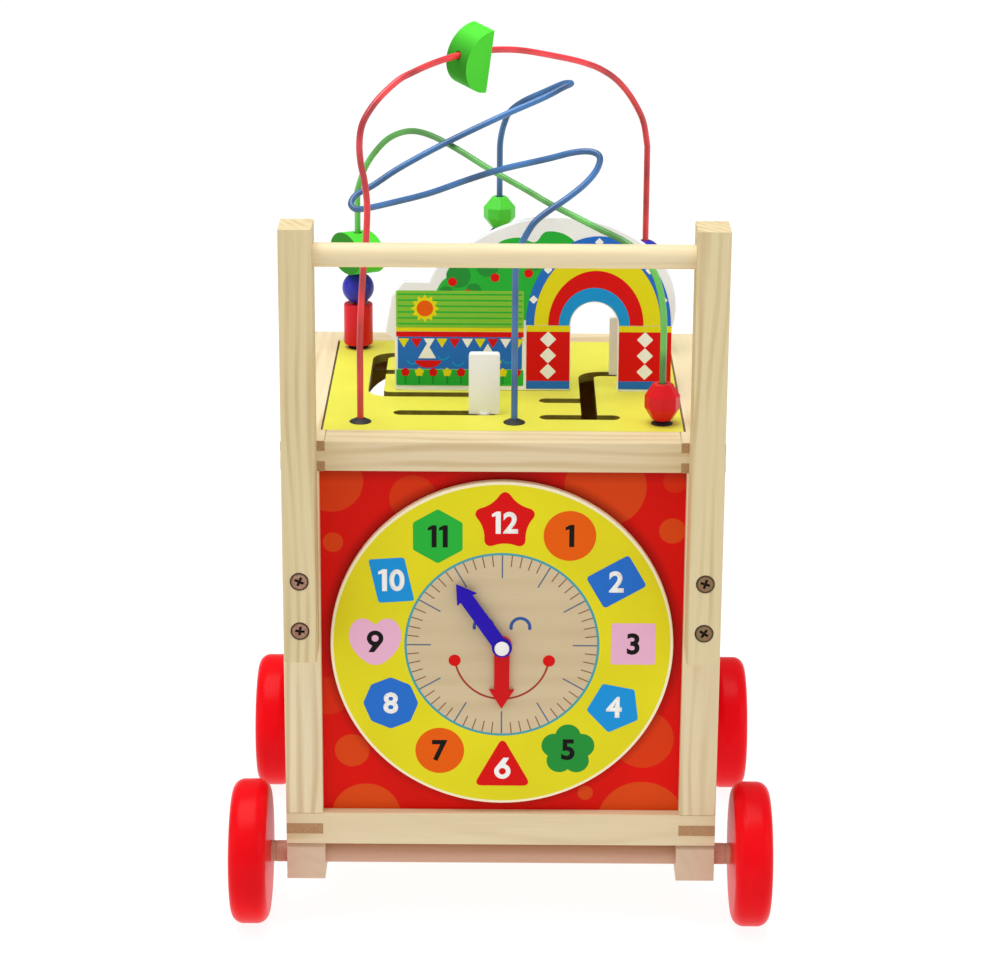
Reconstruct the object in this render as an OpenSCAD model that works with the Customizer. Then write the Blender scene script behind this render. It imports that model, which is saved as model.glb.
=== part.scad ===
// Push-along baby walker: a pine box on four wheels with a handle, a clock face,
// two sliding-figure tracks and three bead wires on top.
// X runs to the right, Y away from the child's side, Z up; the floor is z = 0.

/* [Box] */
// Width of the frame, outside the rails
box_w = 280; // [240:1:320]
// Depth of the frame, outside the rails
box_d = 264; // [240:1:310]
// Section of the square corner posts, and width of the bottom rails
post_w = 24; // [20:1:30]
// Length of the corner posts between the two rail frames
post_len = 234; // [226:1:280]
// Height of the bottom rails
bottom_rail_h = 22; // [20:1:30]
// Height of the top rails
top_rail_h = 20; // [18:1:28]
// Width of the ledge inside the top rails that carries the top board
ledge_w = 4; // [4:1:8]

/* [Panels] */
// Thickness of the plywood panels
panel_t = 4; // [3:0.5:5]
// Distance from the outside of the frame to a panel's outer face
panel_inset = 8; // [6:0.5:10]
// Depth of the panel grooves in posts and rails
groove_depth = 5; // [3:0.5:7]
// Height of the floor panel above the underside of the bottom rails
floor_lift = 3; // [2:0.5:3.2]
// Diameter of the reach-in hole in the back panel
reach_hole_d = 60; // [50:1:70]
// Distance of that hole from the left edge of the panel opening
reach_hole_side = 46; // [42:1:60]
// Distance of that hole from the top of the panel opening
reach_hole_drop = 38; // [38:1:60]

/* [Wheels] */
// Wheel diameter
wheel_d = 95; // [85:1:110]
// Wheel width over the domed faces
wheel_w = 26.5; // [22:0.5:32]
// Rise of each wheel face at its middle
wheel_dome = 1; // [1:0.5:4]
// Radius of the wheel's rounded rims
wheel_round = 8; // [5:0.5:10]
// Gap between an axle block and the wheel beside it
wheel_gap = 11; // [6:1:16]
// Axle diameter
axle_d = 14; // [10:0.5:16]
// Depth of the axle socket in each wheel
axle_socket = 18; // [12:1:20]
// Edge length of the axle blocks
block_w = 25; // [22:1:30]
// Height of the axle above the middle of its block
axle_rise = 1.5; // [0:0.25:2]
// Bevel along the upper outer edge of the axle blocks
block_bevel = 3; // [1:0.5:4]
// Setback of the front axle from the front of the frame
front_setback = 13; // [13:1:30]
// Setback of the rear axle from the back of the frame
rear_setback = 22; // [13:1:40]

/* [Handle] */
// Width of the handle posts, seen from the front
handle_post_w = 20.5; // [18:0.5:26]
// Depth of the handle posts
handle_post_d = 30; // [22:1:36]
// Length of the handle posts
handle_post_len = 280; // [240:1:320]
// Rise of the handle posts above the top of the box
handle_rise = 142.5; // [120:0.5:180]
// Distance of a post's outer side from the side of the frame
handle_post_offset = 2.5; // [0:0.5:5]
// Diameter of the round handle bar
bar_d = 15; // [12:0.5:20]
// Distance of the bar's centre below the top of the posts
bar_drop = 19; // [15:1:30]
// Depth of the bar's socket in each post
bar_socket = 10; // [6:1:14]

/* [Screws] */
// Diameter of the screw heads
screw_head_d = 13; // [10:0.5:14]
// Depth of the countersink
screw_head_t = 4; // [3:0.5:5]
// Diameter of the screw shanks
screw_d = 5; // [4:0.5:6]
// Length of the screws
screw_len = 46; // [40:1:50]
// Height of the lower screw above the foot of the handle post
screw_low = 21; // [15:1:30]
// Spacing of the two screws
screw_pitch = 33; // [25:1:45]

/* [Clock] */
// Gap between the clock disc and the sides of its opening
clock_margin = 6; // [3:0.5:20]
// Thickness of the clock disc
clock_t = 6; // [4:0.5:7]
// Length of the long hand from the pin
long_hand_len = 52; // [44:1:60]
// Length of the short hand from the pin
short_hand_len = 43; // [30:1:43]
// Thickness of each hand
hand_t = 2.5; // [2:0.5:4]
// Diameter of the pin that carries the hands
pin_d = 5; // [4:0.5:6]
// Diameter of the pin's round cap
pin_cap_d = 9.5; // [8:0.5:12]
// Thickness of the cap and of the nut behind the panel
pin_cap_t = 3; // [2:0.5:4]
// Width of the long hand's bar
long_hand_w = 9.5; // [7:0.5:11]
// Width of the short hand's bar
short_hand_w = 10; // [7:0.5:11]
// Diameter of the round boss of each hand
hand_boss_d = 13; // [11:0.5:14]

/* [Top board] */
// Thickness of the top board
board_t = 6; // [5:0.5:8]
// Width of the figure tracks
track_w = 10.4; // [9:0.1:12]
// Thickness of the scenery board
scene_t = 6; // [4:0.5:8]
// Distance of the scenery board from the front of the frame
scene_y = 116; // [115:1:120]
// Width of the sliding figures
figure_w = 20; // [18:1:22]
// Height of the sliding figures
figure_h = 40; // [30:1:44]
// Thickness of the sliding figures
figure_t = 7; // [6:0.5:8]
// Radius of the bends in the figure tracks
track_bend = 10; // [6:1:14]
// Overlap of the round keepers under the board, beyond the track on each side
keeper_lip = 4; // [3:0.5:6]

/* [Bead wires] */
// Diameter of the coated wires
wire_d = 4.2; // [3.5:0.1:5]
// Diameter of the grommets at the wire ends
grommet_d = 14; // [12:0.5:16]
// Height of the grommets above the board
grommet_h = 2.5; // [2:0.5:3]
// Diameter of the bore through every bead
bead_bore = 5.7; // [5.7:0.1:6.5]
// Diameter of the cylinder beads
cylinder_bead_d = 20; // [16:0.5:22]
// Height of the cylinder beads
cylinder_bead_h = 29; // [24:1:29]
// Diameter of the ball beads
ball_bead_d = 22; // [18:0.5:22]
// Diameter of the faceted beads, over their corners
facet_bead_d = 23; // [18:0.5:24]
// Height of the faceted beads
facet_bead_h = 24; // [20:1:24]
// Diameter of the flat ends of the faceted beads
facet_end_d = 13; // [10:0.5:15]
// Diameter of the faceted beads on the middle leg, over their corners
middle_bead_d = 22; // [18:0.5:24]
// Height of the top bead on the middle leg
middle_bead_h = 22; // [20:1:24]
// Diameter of the flat ends of the faceted beads on the middle leg
middle_end_d = 10; // [9:0.5:13]
// Length of the oval bead
oval_bead_w = 50; // [40:1:52]
// Height of the oval bead along its bore
oval_bead_h = 28; // [22:1:28]
// Radius of the half-round bead
arch_bead_r = 21; // [18:1:21]
// Distance of the half-round bead's middle below its bore
arch_bead_hang = 4; // [0:0.5:5]
// Thickness of the oval and half-round beads
flat_bead_t = 19; // [14:1:20]

/* [Hidden] */
$fn = 64;
// Clearances
running_gap = 0.05;  // hinge pins in their bores, on the radius
slide_gap = 0.3;     // a figure's stem in its track, on each side
fit_gap = 0.1;       // glued plywood in its groove, on each side
board_gap = 1.4;     // the visible joint at the left and right of the top board
seat_gap = 0.3;      // between moving pieces that rest on each other
cut = 1;             // overrun of every cutting tool

// Derived places
wheel_r = wheel_d / 2;
block_z = wheel_r - block_w / 2 - axle_rise;
base_z = block_z + block_w;
posts_z = base_z + bottom_rail_h;
cap_z = posts_z + post_len;
top_z = cap_z + top_rail_h;
inner_w = box_w - 2 * post_w;
inner_d = box_d - 2 * post_w;
half_w = inner_w / 2;
clock_d = min(inner_w, post_len) - 2 * clock_margin;
wheelbase = box_d - front_setback - rear_setback;
front_axle_y = -wheelbase / 2;
rear_axle_y = wheelbase / 2;
front_y = front_axle_y - front_setback;
back_y = front_y + box_d;
mid_y = (front_y + back_y) / 2;
clock_z = posts_z + post_len / 2;
wheel_in_x = box_w / 2 + wheel_gap;
top_rail_w = post_w + ledge_w;
handle_y = front_y - handle_post_d;
handle_x = box_w / 2 - handle_post_offset - handle_post_w;
handle_top_z = top_z + handle_rise;
handle_foot_z = handle_top_z - handle_post_len;
bar_z = handle_top_z - bar_drop;
scene_front_y = front_y + scene_y;
bead_z = top_z + grommet_h + seat_gap;

// Clock stack, from the panel towards the front
disc_face_y = front_y + panel_inset - clock_t;
short_hand_y = disc_face_y - seat_gap - hand_t;
long_hand_y = short_hand_y - seat_gap - hand_t;
cap_y = long_hand_y - seat_gap;
long_hand_angle = 34.5;  // to the left of twelve
short_hand_angle = 180;  // at six
arrow_ratio = 1.62;      // width of a hand's arrow head over the width of its bar
arrow_share = 0.77;      // length of an arrow head over its width
barb_drop = 0.7;         // how far the barbs sweep back
hand_taper = 0.96;       // width of a bar at the head over its width at the pin
cap_bevel = 1;
screw_turn = 20;         // angle of the cross slots

// Wire ends: [x, distance from the front of the frame]
front_row = 42.5;
back_row = box_d - 41;
red_ends = [[24.5 - half_w, front_row], [half_w - 19, back_row]];
blue_ends = [[7, front_row], [-3.5, back_row]];
green_ends = [[half_w - 14.5, front_row], [15 - half_w, back_row]];
wire_ends = concat(red_ends, blue_ends, green_ends);

// Routes of the wires above the board. The red and green wires each lie in one upright
// plane: [distance from the near end, height] on the rise, and from the far end on the fall.
red_arch_r = 220;
red_arch_s = 100;
red_arch_top = 226.5;
red_rise = [[1, 70], [3, 95], [6, 120], [7, 140], [5, 156], [2, 168], [1, 180],
    [3, 191], [9, 199.5], [19, 208]];
red_arch = [for (s = [34 : 12 : 154])
    [s, red_arch_top - red_arch_r + sqrt(red_arch_r ^ 2 - (s - red_arch_s) ^ 2)]];
red_fall = [[91, 215.8], [75, 211.6], [61, 207.3], [47, 201.8], [33, 193.8], [21, 183.5],
    [11, 171.5], [4, 159.5]];
green_rise = [[1, 76], [4, 88], [9, 98], [18, 107], [34, 114], [56, 119], [77, 124],
    [98, 129], [118, 135]];
green_fall = [[121, 144], [93, 153], [68, 159], [49, 159], [31, 152], [17, 140], [7, 127]];
// The blue one is [x, share of the way from the front row to the back row, height]
blue_route = [[9, 0, 112], [15, 0.01, 125], [22, 0.03, 133], [40, 0.08, 144],
    [51, 0.11, 152], [58, 0.13, 160], [60, 0.152, 167], [55, 0.169, 170], [44, 0.186, 169],
    [26, 0.224, 163], [-2, 0.285, 154], [-24, 0.335, 145], [-49, 0.385, 134],
    [-75, 0.44, 125], [-91, 0.474, 120], [-98, 0.49, 119], [-101, 0.512, 122],
    [-97, 0.54, 127], [-87, 0.557, 132], [-69, 0.59, 143], [-40, 0.651, 157],
    [-4, 0.729, 172], [25, 0.789, 183], [38, 0.817, 189], [44, 0.845, 191],
    [39, 0.873, 190], [27, 0.895, 184], [12, 0.922, 176], [3, 0.945, 168],
    [-1, 0.967, 158], [-3, 0.989, 148]];
red_leg_tops = [47, 143];
blue_leg_tops = [97, 141];
green_leg_tops = [65, 111];

// Beads
grommet_lip = 1.5;
ball_bead_h = 2 * sqrt((ball_bead_d / 2) ^ 2 - (bead_bore / 2) ^ 2);
arch_bead_s = 84;  // where the bead on the red arch starts, along the wire's plane
arch_bead_roll = -12;
oval_bead_turn = -63;

// Scenery outline sizes, above the board
scene_x = 38 - half_w;
scene_w = half_w - 3 - scene_x;
scene_step = 4;   // small steps of the outline at its ends
house_w = 88;
house_h = 64;
eave_h = 40;
chimney_w = 10;
chimney_h = 10;
bush_r = 41;
hump_ratio = 1.9; // radius of the crown line over bush and gateway, over the gateway's
arch_w = 31;
arch_pier_h = 45;
tab_w = 20;
tab_inset = 14;
gate_r = (scene_w - house_w) / 2;
gate_x = scene_x + house_w + gate_r;
gate_z = house_h - 1.5 * scene_step;
arch_x = gate_x - 2;

// Tracks in the top board, as paths. The left ones are [distance from the board's opening
// at the left, distance from the front of the frame], the right ones are
// [distance from the middle of the gateway, distance from the front].
left_tracks = [
    [[50, 63.5], [107, 63.5]],
    [[103.6, 63.5], [103.6, 105.8], [31.5, 105.8], [31.5, 203], [76, 203]],
    [[31.5, 160], [76, 160]]];
right_tracks = [
    [[-31, 54.8], [10.5, 54.8]],
    [[-4, 54.8], [-4, 158], [24.5, 158]],
    [[-31, 93], [-4, 93]]];
function moved(paths, x) = [for (path = paths) [for (p = path) [p[0] + x, p[1]]]];
tracks = concat(moved(left_tracks, -half_w), moved(right_tracks, arch_x));
left_figure_at = [103.6 - half_w, 63.5];
right_figure_at = [arch_x + 21.5, 158];

// ---------- small tools ----------
function arc(cx, cy, r, a0, a1, steps = 12) =
    [for (i = [0 : steps]) let (a = a0 + (a1 - a0) * i / steps) [cx + r * cos(a), cy + r * sin(a)]];
function unit(v) = v / norm(v);

// A box given by its low corner and its size, grown by g on every side
module block(low, size, g = 0) {
    translate([low[0] - g, low[1] - g, low[2] - g])
        cube([size[0] + 2 * g, size[1] + 2 * g, size[2] + 2 * g]);
}

module rod_x(x0, x1, y, z, d) {
    translate([x0, y, z]) rotate([0, 90, 0]) cylinder(d = d, h = x1 - x0);
}

// A rod along +Y from y0 to y1
module rod_y(x, y0, y1, z, d1, d2) {
    translate([x, y0, z]) rotate([-90, 0, 0]) cylinder(d1 = d1, d2 = d2, h = y1 - y0);
}

// ---------- panels; each also cuts its own groove, grown by fit_gap ----------
module upright_panel_x(y, g = 0) {
    block([-half_w - groove_depth + fit_gap, y, posts_z - groove_depth + fit_gap],
        [inner_w + 2 * (groove_depth - fit_gap), panel_t, post_len + 2 * (groove_depth - fit_gap)], g);
}

module upright_panel_y(x, g = 0) {
    block([x, mid_y - inner_d / 2 - groove_depth + fit_gap, posts_z - groove_depth + fit_gap],
        [panel_t, inner_d + 2 * (groove_depth - fit_gap), post_len + 2 * (groove_depth - fit_gap)], g);
}

module clock_panel_blank(g = 0) {
    upright_panel_x(front_y + panel_inset, g);
}

module back_panel_blank(g = 0) {
    upright_panel_x(back_y - panel_inset - panel_t, g);
}

module side_panel_blank(side, g = 0) {
    upright_panel_y(side * (box_w / 2 - panel_inset - panel_t / 2) - panel_t / 2, g);
}

module floor_panel_blank(g = 0) {
    block([-half_w - groove_depth + fit_gap, mid_y - inner_d / 2 - groove_depth + fit_gap,
        base_z + floor_lift],
        [inner_w + 2 * (groove_depth - fit_gap), inner_d + 2 * (groove_depth - fit_gap), panel_t], g);
}

module grooves() {
    clock_panel_blank(fit_gap);
    back_panel_blank(fit_gap);
    side_panel_blank(-1, fit_gap);
    side_panel_blank(1, fit_gap);
    floor_panel_blank(fit_gap);
}

module clock_panel() {
    color("red") difference() {
        clock_panel_blank();
        rod_y(0, front_y, back_y, clock_z, pin_d, pin_d);
    }
}

module side_panel_left() {
    color("red") side_panel_blank(-1);
}

module side_panel_right() {
    color("red") side_panel_blank(1);
}

module back_panel() {
    color("yellow") difference() {
        back_panel_blank();
        translate([reach_hole_side - half_w, back_y, cap_z - reach_hole_drop])
            rotate([90, 0, 0]) cylinder(d = reach_hole_d, h = 3 * panel_inset);
    }
}

module floor_panel() {
    color("wheat") floor_panel_blank();
}

// ---------- frame rails with bridle corners ----------
// The thirds of a rail's height, from below, that its side rails' fingers fill at the corners
BOTTOM_FINGERS = [1];
TOP_FINGERS = [0, 2];

// A front or rear rail, cut away at both ends for the side rails' fingers
module cross_rail(y, z, w, h, fingers) {
    difference() {
        translate([-box_w / 2, y, z]) cube([box_w, w, h]);
        for (side = [-1, 1], k = fingers)
            translate([side * (box_w / 2 - w / 2 + cut / 2) - (w + cut) / 2, y - cut,
                z + k * h / 3 - (k == 0 ? cut : 0)])
                cube([w + cut, w + 2 * cut, h / 3 + (k == 1 ? 0 : cut)]);
        grooves();
        board_recess();
    }
}

// A side rail with fingers at each end that show as end grain at the front
module side_rail(side, z, w, h, fingers) {
    difference() {
        union() {
            translate([side * (box_w / 2 - w / 2) - w / 2, front_y + w, z])
                cube([w, box_d - 2 * w, h]);
            for (k = fingers)
                translate([side * (box_w / 2 - w / 2) - w / 2, front_y, z + k * h / 3])
                    cube([w, box_d, h / 3]);
        }
        grooves();
        board_recess();
    }
}

module bottom_rail_front() {
    color("burlywood") cross_rail(front_y, base_z, post_w, bottom_rail_h, BOTTOM_FINGERS);
}

module bottom_rail_rear() {
    color("burlywood") cross_rail(back_y - post_w, base_z, post_w, bottom_rail_h, BOTTOM_FINGERS);
}

module bottom_rail_left() {
    color("burlywood") side_rail(-1, base_z, post_w, bottom_rail_h, BOTTOM_FINGERS);
}

module bottom_rail_right() {
    color("burlywood") side_rail(1, base_z, post_w, bottom_rail_h, BOTTOM_FINGERS);
}

module top_rail_front() {
    color("burlywood") cross_rail(front_y, cap_z, top_rail_w, top_rail_h, TOP_FINGERS);
}

module top_rail_rear() {
    color("burlywood") cross_rail(back_y - top_rail_w, cap_z, top_rail_w, top_rail_h, TOP_FINGERS);
}

module top_rail_left() {
    color("burlywood") side_rail(-1, cap_z, top_rail_w, top_rail_h, TOP_FINGERS);
}

module top_rail_right() {
    color("burlywood") side_rail(1, cap_z, top_rail_w, top_rail_h, TOP_FINGERS);
}

// ---------- corner posts ----------
module corner_post(side, y) {
    color("wheat") difference() {
        translate([side * (box_w / 2 - post_w / 2) - post_w / 2, y, posts_z])
            cube([post_w, post_w, post_len]);
        grooves();
        screw_holes();
    }
}

module corner_post_front_left() {
    corner_post(-1, front_y);
}

module corner_post_front_right() {
    corner_post(1, front_y);
}

module corner_post_rear_left() {
    corner_post(-1, back_y - post_w);
}

module corner_post_rear_right() {
    corner_post(1, back_y - post_w);
}

// ---------- wheels, axles and their blocks ----------
// The bevel runs along the block's upper edge on its outer side, out = -1 front, 1 rear
module axle_block(side, y, out) {
    x = side * (box_w / 2 - block_w / 2);
    color("burlywood") difference() {
        translate([x - block_w / 2, y - block_w / 2, block_z]) cube(block_w);
        translate([x - block_w / 2 - cut, y + out * block_w / 2, base_z]) rotate([45, 0, 0])
            translate([0, -block_bevel / sqrt(2), -block_bevel / sqrt(2)])
                cube([block_w + 2 * cut, block_bevel * sqrt(2), block_bevel * sqrt(2)]);
        rod_x(x - block_w, x + block_w, y, wheel_r, axle_d + 2 * running_gap);
    }
}

module axle_block_front_left() {
    axle_block(-1, front_axle_y, -1);
}

module axle_block_front_right() {
    axle_block(1, front_axle_y, -1);
}

module axle_block_rear_left() {
    axle_block(-1, rear_axle_y, 1);
}

module axle_block_rear_right() {
    axle_block(1, rear_axle_y, 1);
}

module axle(y) {
    reach = wheel_in_x + axle_socket;
    color("tan") rod_x(-reach, reach, y, wheel_r, axle_d);
}

module front_axle() {
    axle(front_axle_y);
}

module rear_axle() {
    axle(rear_axle_y);
}

// Half section of a wheel: [radius, distance from the inner face]
function wheel_section() = let (
    flat = wheel_r - wheel_round,
    dome_r = (flat ^ 2 + wheel_dome ^ 2) / (2 * wheel_dome),
    dome_a = asin(flat / dome_r),
    outer = arc(0, wheel_w - dome_r, dome_r, 90, 90 - dome_a, 8),
    inner = arc(0, dome_r, dome_r, -90 + dome_a, -90, 8),
    rim_out = arc(flat, wheel_w - wheel_dome - wheel_round, wheel_round, 90, 0, 8),
    rim_in = arc(flat, wheel_dome + wheel_round, wheel_round, 0, -90, 8))
    concat(outer, [for (i = [1 : 8]) rim_out[i]], [for (i = [0 : 7]) rim_in[i]], inner);

module wheel(side, y) {
    color("red") translate([side * wheel_in_x, y, wheel_r]) rotate([0, side * 90, 0])
        difference() {
            rotate_extrude($fn = 96) polygon(wheel_section());
            translate([0, 0, -cut]) cylinder(d = axle_d, h = axle_socket + cut);
        }
}

module wheel_front_left() {
    wheel(-1, front_axle_y);
}

module wheel_front_right() {
    wheel(1, front_axle_y);
}

module wheel_rear_left() {
    wheel(-1, rear_axle_y);
}

module wheel_rear_right() {
    wheel(1, rear_axle_y);
}

// ---------- handle ----------
module handle_post(side) {
    x = side * (handle_x + handle_post_w / 2);
    color("wheat") difference() {
        translate([x - handle_post_w / 2, handle_y, handle_foot_z])
            cube([handle_post_w, handle_post_d, handle_post_len]);
        rod_x(-handle_x - bar_socket, handle_x + bar_socket, handle_y + handle_post_d / 2, bar_z, bar_d);
        screw_holes();
    }
}

module handle_post_left() {
    handle_post(-1);
}

module handle_post_right() {
    handle_post(1);
}

module handle_bar() {
    reach = handle_x + bar_socket;
    color("wheat") rod_x(-reach, reach, handle_y + handle_post_d / 2, bar_z, bar_d);
}

// Puts a screw in each of its four places
module at_each_screw() {
    for (side = [-1, 1], row = [0, 1])
        translate([side * (handle_x + handle_post_w / 2), 0, handle_foot_z + screw_low + row * screw_pitch])
            children();
}

// One countersunk screw along +Y, grown by g for its hole
module screw_body(g = 0) {
    shank = screw_d + 2 * g;
    rod_y(0, handle_y, handle_y + screw_head_t, 0, screw_head_d + 2 * g, shank);
    rod_y(0, handle_y + screw_head_t - g, handle_y + screw_len + g, 0, shank, shank);
}

module screw_holes() {
    at_each_screw() screw_body(running_gap);
}

module handle_screws() {
    slot_w = screw_head_d / 9;
    slot_len = screw_head_d * 0.6;
    color("saddlebrown") at_each_screw() difference() {
        screw_body();
        for (a = [screw_turn, screw_turn + 90])
            translate([0, handle_y, 0]) rotate([0, a, 0])
                cube([slot_len, screw_head_t, slot_w], center = true);
    }
}

// ---------- clock ----------
module clock_disc() {
    color("gold") difference() {
        rod_y(0, disc_face_y, disc_face_y + clock_t, clock_z, clock_d, clock_d, $fn = 128);
        rod_y(0, disc_face_y - cut, disc_face_y + clock_t + cut, clock_z, pin_d, pin_d);
    }
}

module clock_pin() {
    nut_y = front_y + panel_inset + panel_t;
    color("white") {
        rod_y(0, cap_y - pin_cap_t, cap_y, clock_z, pin_cap_d - 2 * cap_bevel, pin_cap_d);
        rod_y(0, cap_y - cut, nut_y + pin_cap_t, clock_z, pin_d, pin_d);
    }
}

module clock_pin_nut() {
    nut_y = front_y + panel_inset + panel_t;
    color("silver") difference() {
        rod_y(0, nut_y, nut_y + pin_cap_t, clock_z, 2 * pin_cap_d, 2 * pin_cap_d);
        rod_y(0, nut_y - cut, nut_y + pin_cap_t + cut, clock_z, pin_d, pin_d);
    }
}

// A hand that points up before it is turned: boss, tapering bar and arrow head
module hand(length, width, y, turn) {
    head = arrow_ratio * width;
    rise = length - arrow_share * head;
    neck = hand_taper * width / 2;
    translate([0, y + hand_t, clock_z]) rotate([0, turn, 0]) rotate([90, 0, 0]) difference() {
        union() {
            cylinder(d = hand_boss_d, h = hand_t);
            linear_extrude(hand_t) polygon([[-width / 2, 0], [width / 2, 0], [neck, rise],
                [head / 2, rise - barb_drop], [0, length], [-head / 2, rise - barb_drop], [-neck, rise]]);
        }
        translate([0, 0, -cut]) cylinder(d = pin_d + 2 * running_gap, h = hand_t + 2 * cut);
    }
}

module minute_hand() {
    color("blue") hand(long_hand_len, long_hand_w, long_hand_y, -long_hand_angle);
}

module hour_hand() {
    color("red") hand(short_hand_len, short_hand_w, short_hand_y, short_hand_angle);
}

// ---------- top board, tracks and scenery ----------
// The recess above the rails' ledges, which the top board drops into
module board_recess() {
    block([-half_w, front_y + post_w - fit_gap, top_z - board_t],
        [inner_w, inner_d + 2 * fit_gap, board_t + cut]);
}

// A path of right-angled corners with its corners rounded
function bent(path) = [for (i = [0 : len(path) - 1]) let (b = path[i])
    each i == 0 || i == len(path) - 1 ? [b] :
        let (u = unit(path[i - 1] - b), v = unit(path[i + 1] - b))
        [for (t = [0 : 15 : 90]) b + track_bend * ((1 - sin(t)) * u + (1 - cos(t)) * v)]];

// The outline of a track along a path, with round ends
module track_outline(path) {
    n = len(path);
    sides = [for (i = [0 : n - 1]) let (d = unit(path[min(i + 1, n - 1)] - path[max(i - 1, 0)]))
        track_w / 2 * [-d[1], d[0]]];
    polygon(concat([for (i = [0 : n - 1]) path[i] + sides[i]],
        [for (i = [n - 1 : -1 : 0]) path[i] - sides[i]]));
    for (end = [path[0], path[n - 1]]) translate(end) circle(d = track_w);
}

module top_board() {
    under = top_z - board_t - cut;
    color("yellow") difference() {
        block([board_gap - half_w, front_y + post_w, top_z - board_t],
            [inner_w - 2 * board_gap, inner_d, board_t]);
        for (end = wire_ends)
            translate([end[0], front_y + end[1], under]) cylinder(d = wire_d, h = board_t + 2 * cut);
        for (path = tracks)
            translate([0, front_y, under]) linear_extrude(board_t + 2 * cut) track_outline(bent(path));
        scenery_tabs(fit_gap);
    }
}

module scenery_tabs(g = 0) {
    for (x = [scene_x + tab_inset, scene_x + scene_w - tab_inset - tab_w])
        translate([x - g, scene_front_y - g, top_z - board_t - (g > 0 ? cut : 0)])
            cube([tab_w + 2 * g, scene_t + 2 * g, board_t + (g > 0 ? 2 * cut : 0)]);
}

// Outline of the scenery: a house, a bush, a domed gateway and the low crown over the two
module scenery_outline() {
    bush = [scene_x + house_w - bush_r / 2, house_h - scene_step];
    gate = [gate_x, gate_z];
    hump_r = hump_ratio * gate_r;
    from = bush + bush_r * [-sin(17), cos(17)];
    to = gate + gate_r * [sin(33), cos(33)];
    half = norm(to - from) / 2;
    hump = (from + to) / 2 + sqrt(hump_r ^ 2 - half ^ 2) * unit([to[1] - from[1], from[0] - to[0]]);
    roof_x = 1.5 * scene_step;
    difference() {
        union() {
            translate([scene_x, 0]) polygon([[roof_x, 0], [scene_w - scene_step, 0],
                [scene_w - scene_step, house_h], [3 * scene_step + chimney_w, house_h + chimney_h],
                [3 * scene_step, house_h + chimney_h], [scene_step, house_h], [0, eave_h],
                [roof_x, eave_h - roof_x]]);
            translate(bush) circle(r = bush_r, $fn = 96);
            translate(gate) circle(r = gate_r, $fn = 96);
            intersection() {
                translate(hump) circle(r = hump_r, $fn = 96);
                translate([from[0], gate_z]) square([to[0] - from[0], hump_r]);
            }
            translate([gate_x - gate_r, 0]) square([2 * gate_r - scene_step, house_h]);
        }
        translate([arch_x - arch_w / 2, -cut]) square([arch_w, arch_pier_h + cut]);
        translate([arch_x, arch_pier_h]) circle(d = arch_w, $fn = 96);
    }
}

module scenery_board() {
    color("whitesmoke") {
        translate([0, scene_front_y + scene_t, top_z]) rotate([90, 0, 0])
            linear_extrude(scene_t) scenery_outline();
        scenery_tabs();
    }
}

module figure(at) {
    stem_d = track_w - 2 * slide_gap;
    corner_r = 2;
    color("white") translate([at[0], front_y + at[1], top_z]) {
        translate([0, figure_t / 2, seat_gap]) rotate([90, 0, 0]) linear_extrude(figure_t)
            polygon(concat([[-figure_w / 2, 0], [figure_w / 2, 0]],
                arc(figure_w / 2 - corner_r, figure_h - corner_r, corner_r, 0, 90, 8),
                arc(corner_r - figure_w / 2, figure_h - corner_r, corner_r, 90, 180, 8)));
        translate([0, 0, -board_t - seat_gap]) cylinder(d = stem_d, h = board_t + 2 * seat_gap + cut);
    }
}

module figure_keeper(at) {
    color("tan") translate([at[0], front_y + at[1], top_z - board_t - seat_gap - panel_t])
        cylinder(d = track_w + 2 * keeper_lip, h = panel_t);
}

module figure_left() {
    figure(left_figure_at);
}

module figure_right() {
    figure(right_figure_at);
}

module figure_left_keeper() {
    figure_keeper(left_figure_at);
}

module figure_right_keeper() {
    figure_keeper(right_figure_at);
}

// ---------- bead wires ----------
// Smooth path through the given points
function path_point(p0, p1, p2, p3, t) =
    0.5 * (2 * p1 + (p2 - p0) * t + (2 * p0 - 5 * p1 + 4 * p2 - p3) * t ^ 2
        + (3 * p1 - p0 - 3 * p2 + p3) * t ^ 3);
function smooth_path(pts, steps) = let (n = len(pts)) concat(
    [for (i = [0 : n - 2], k = [0 : steps - 1])
        path_point(pts[max(i - 1, 0)], pts[i], pts[i + 1], pts[min(i + 2, n - 1)], k / steps)],
    [pts[n - 1]]);

// Side vectors carried along the path without twisting
function carried(v, t) = unit(v - (v * t) * t);
function side_vectors(dirs, start) =
    [for (i = 0, v = carried(start, dirs[0]); i < len(dirs);
        i = i + 1, v = i < len(dirs) ? carried(v, dirs[i]) : v) v];

module swept_wire(path, start) {
    n = len(path);
    sides = 12;
    dirs = [for (i = [0 : n - 1])
        i == 0 || i == n - 1 ? [0, 0, i == 0 ? 1 : -1] : unit(path[i + 1] - path[i - 1])];
    across = side_vectors(dirs, start);
    rings = [for (i = [0 : n - 1], k = [0 : sides - 1])
        let (a = 360 * k / sides, u = across[i], w = cross(dirs[i], u))
        path[i] + wire_d / 2 * (cos(a) * u + sin(a) * w)];
    walls = [for (i = [0 : n - 2], k = [0 : sides - 1], half = [0, 1])
        let (a = i * sides + k, b = i * sides + (k + 1) % sides)
        half == 0 ? [a, a + sides, b + sides] : [a, b + sides, b]];
    polyhedron(rings, concat([[for (k = [0 : sides - 1]) k]], walls,
        [[for (k = [sides - 1 : -1 : 0]) (n - 1) * sides + k]]));
}

function leg_point(ends, i, z) = [ends[i][0], ends[i][1], z];

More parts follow.
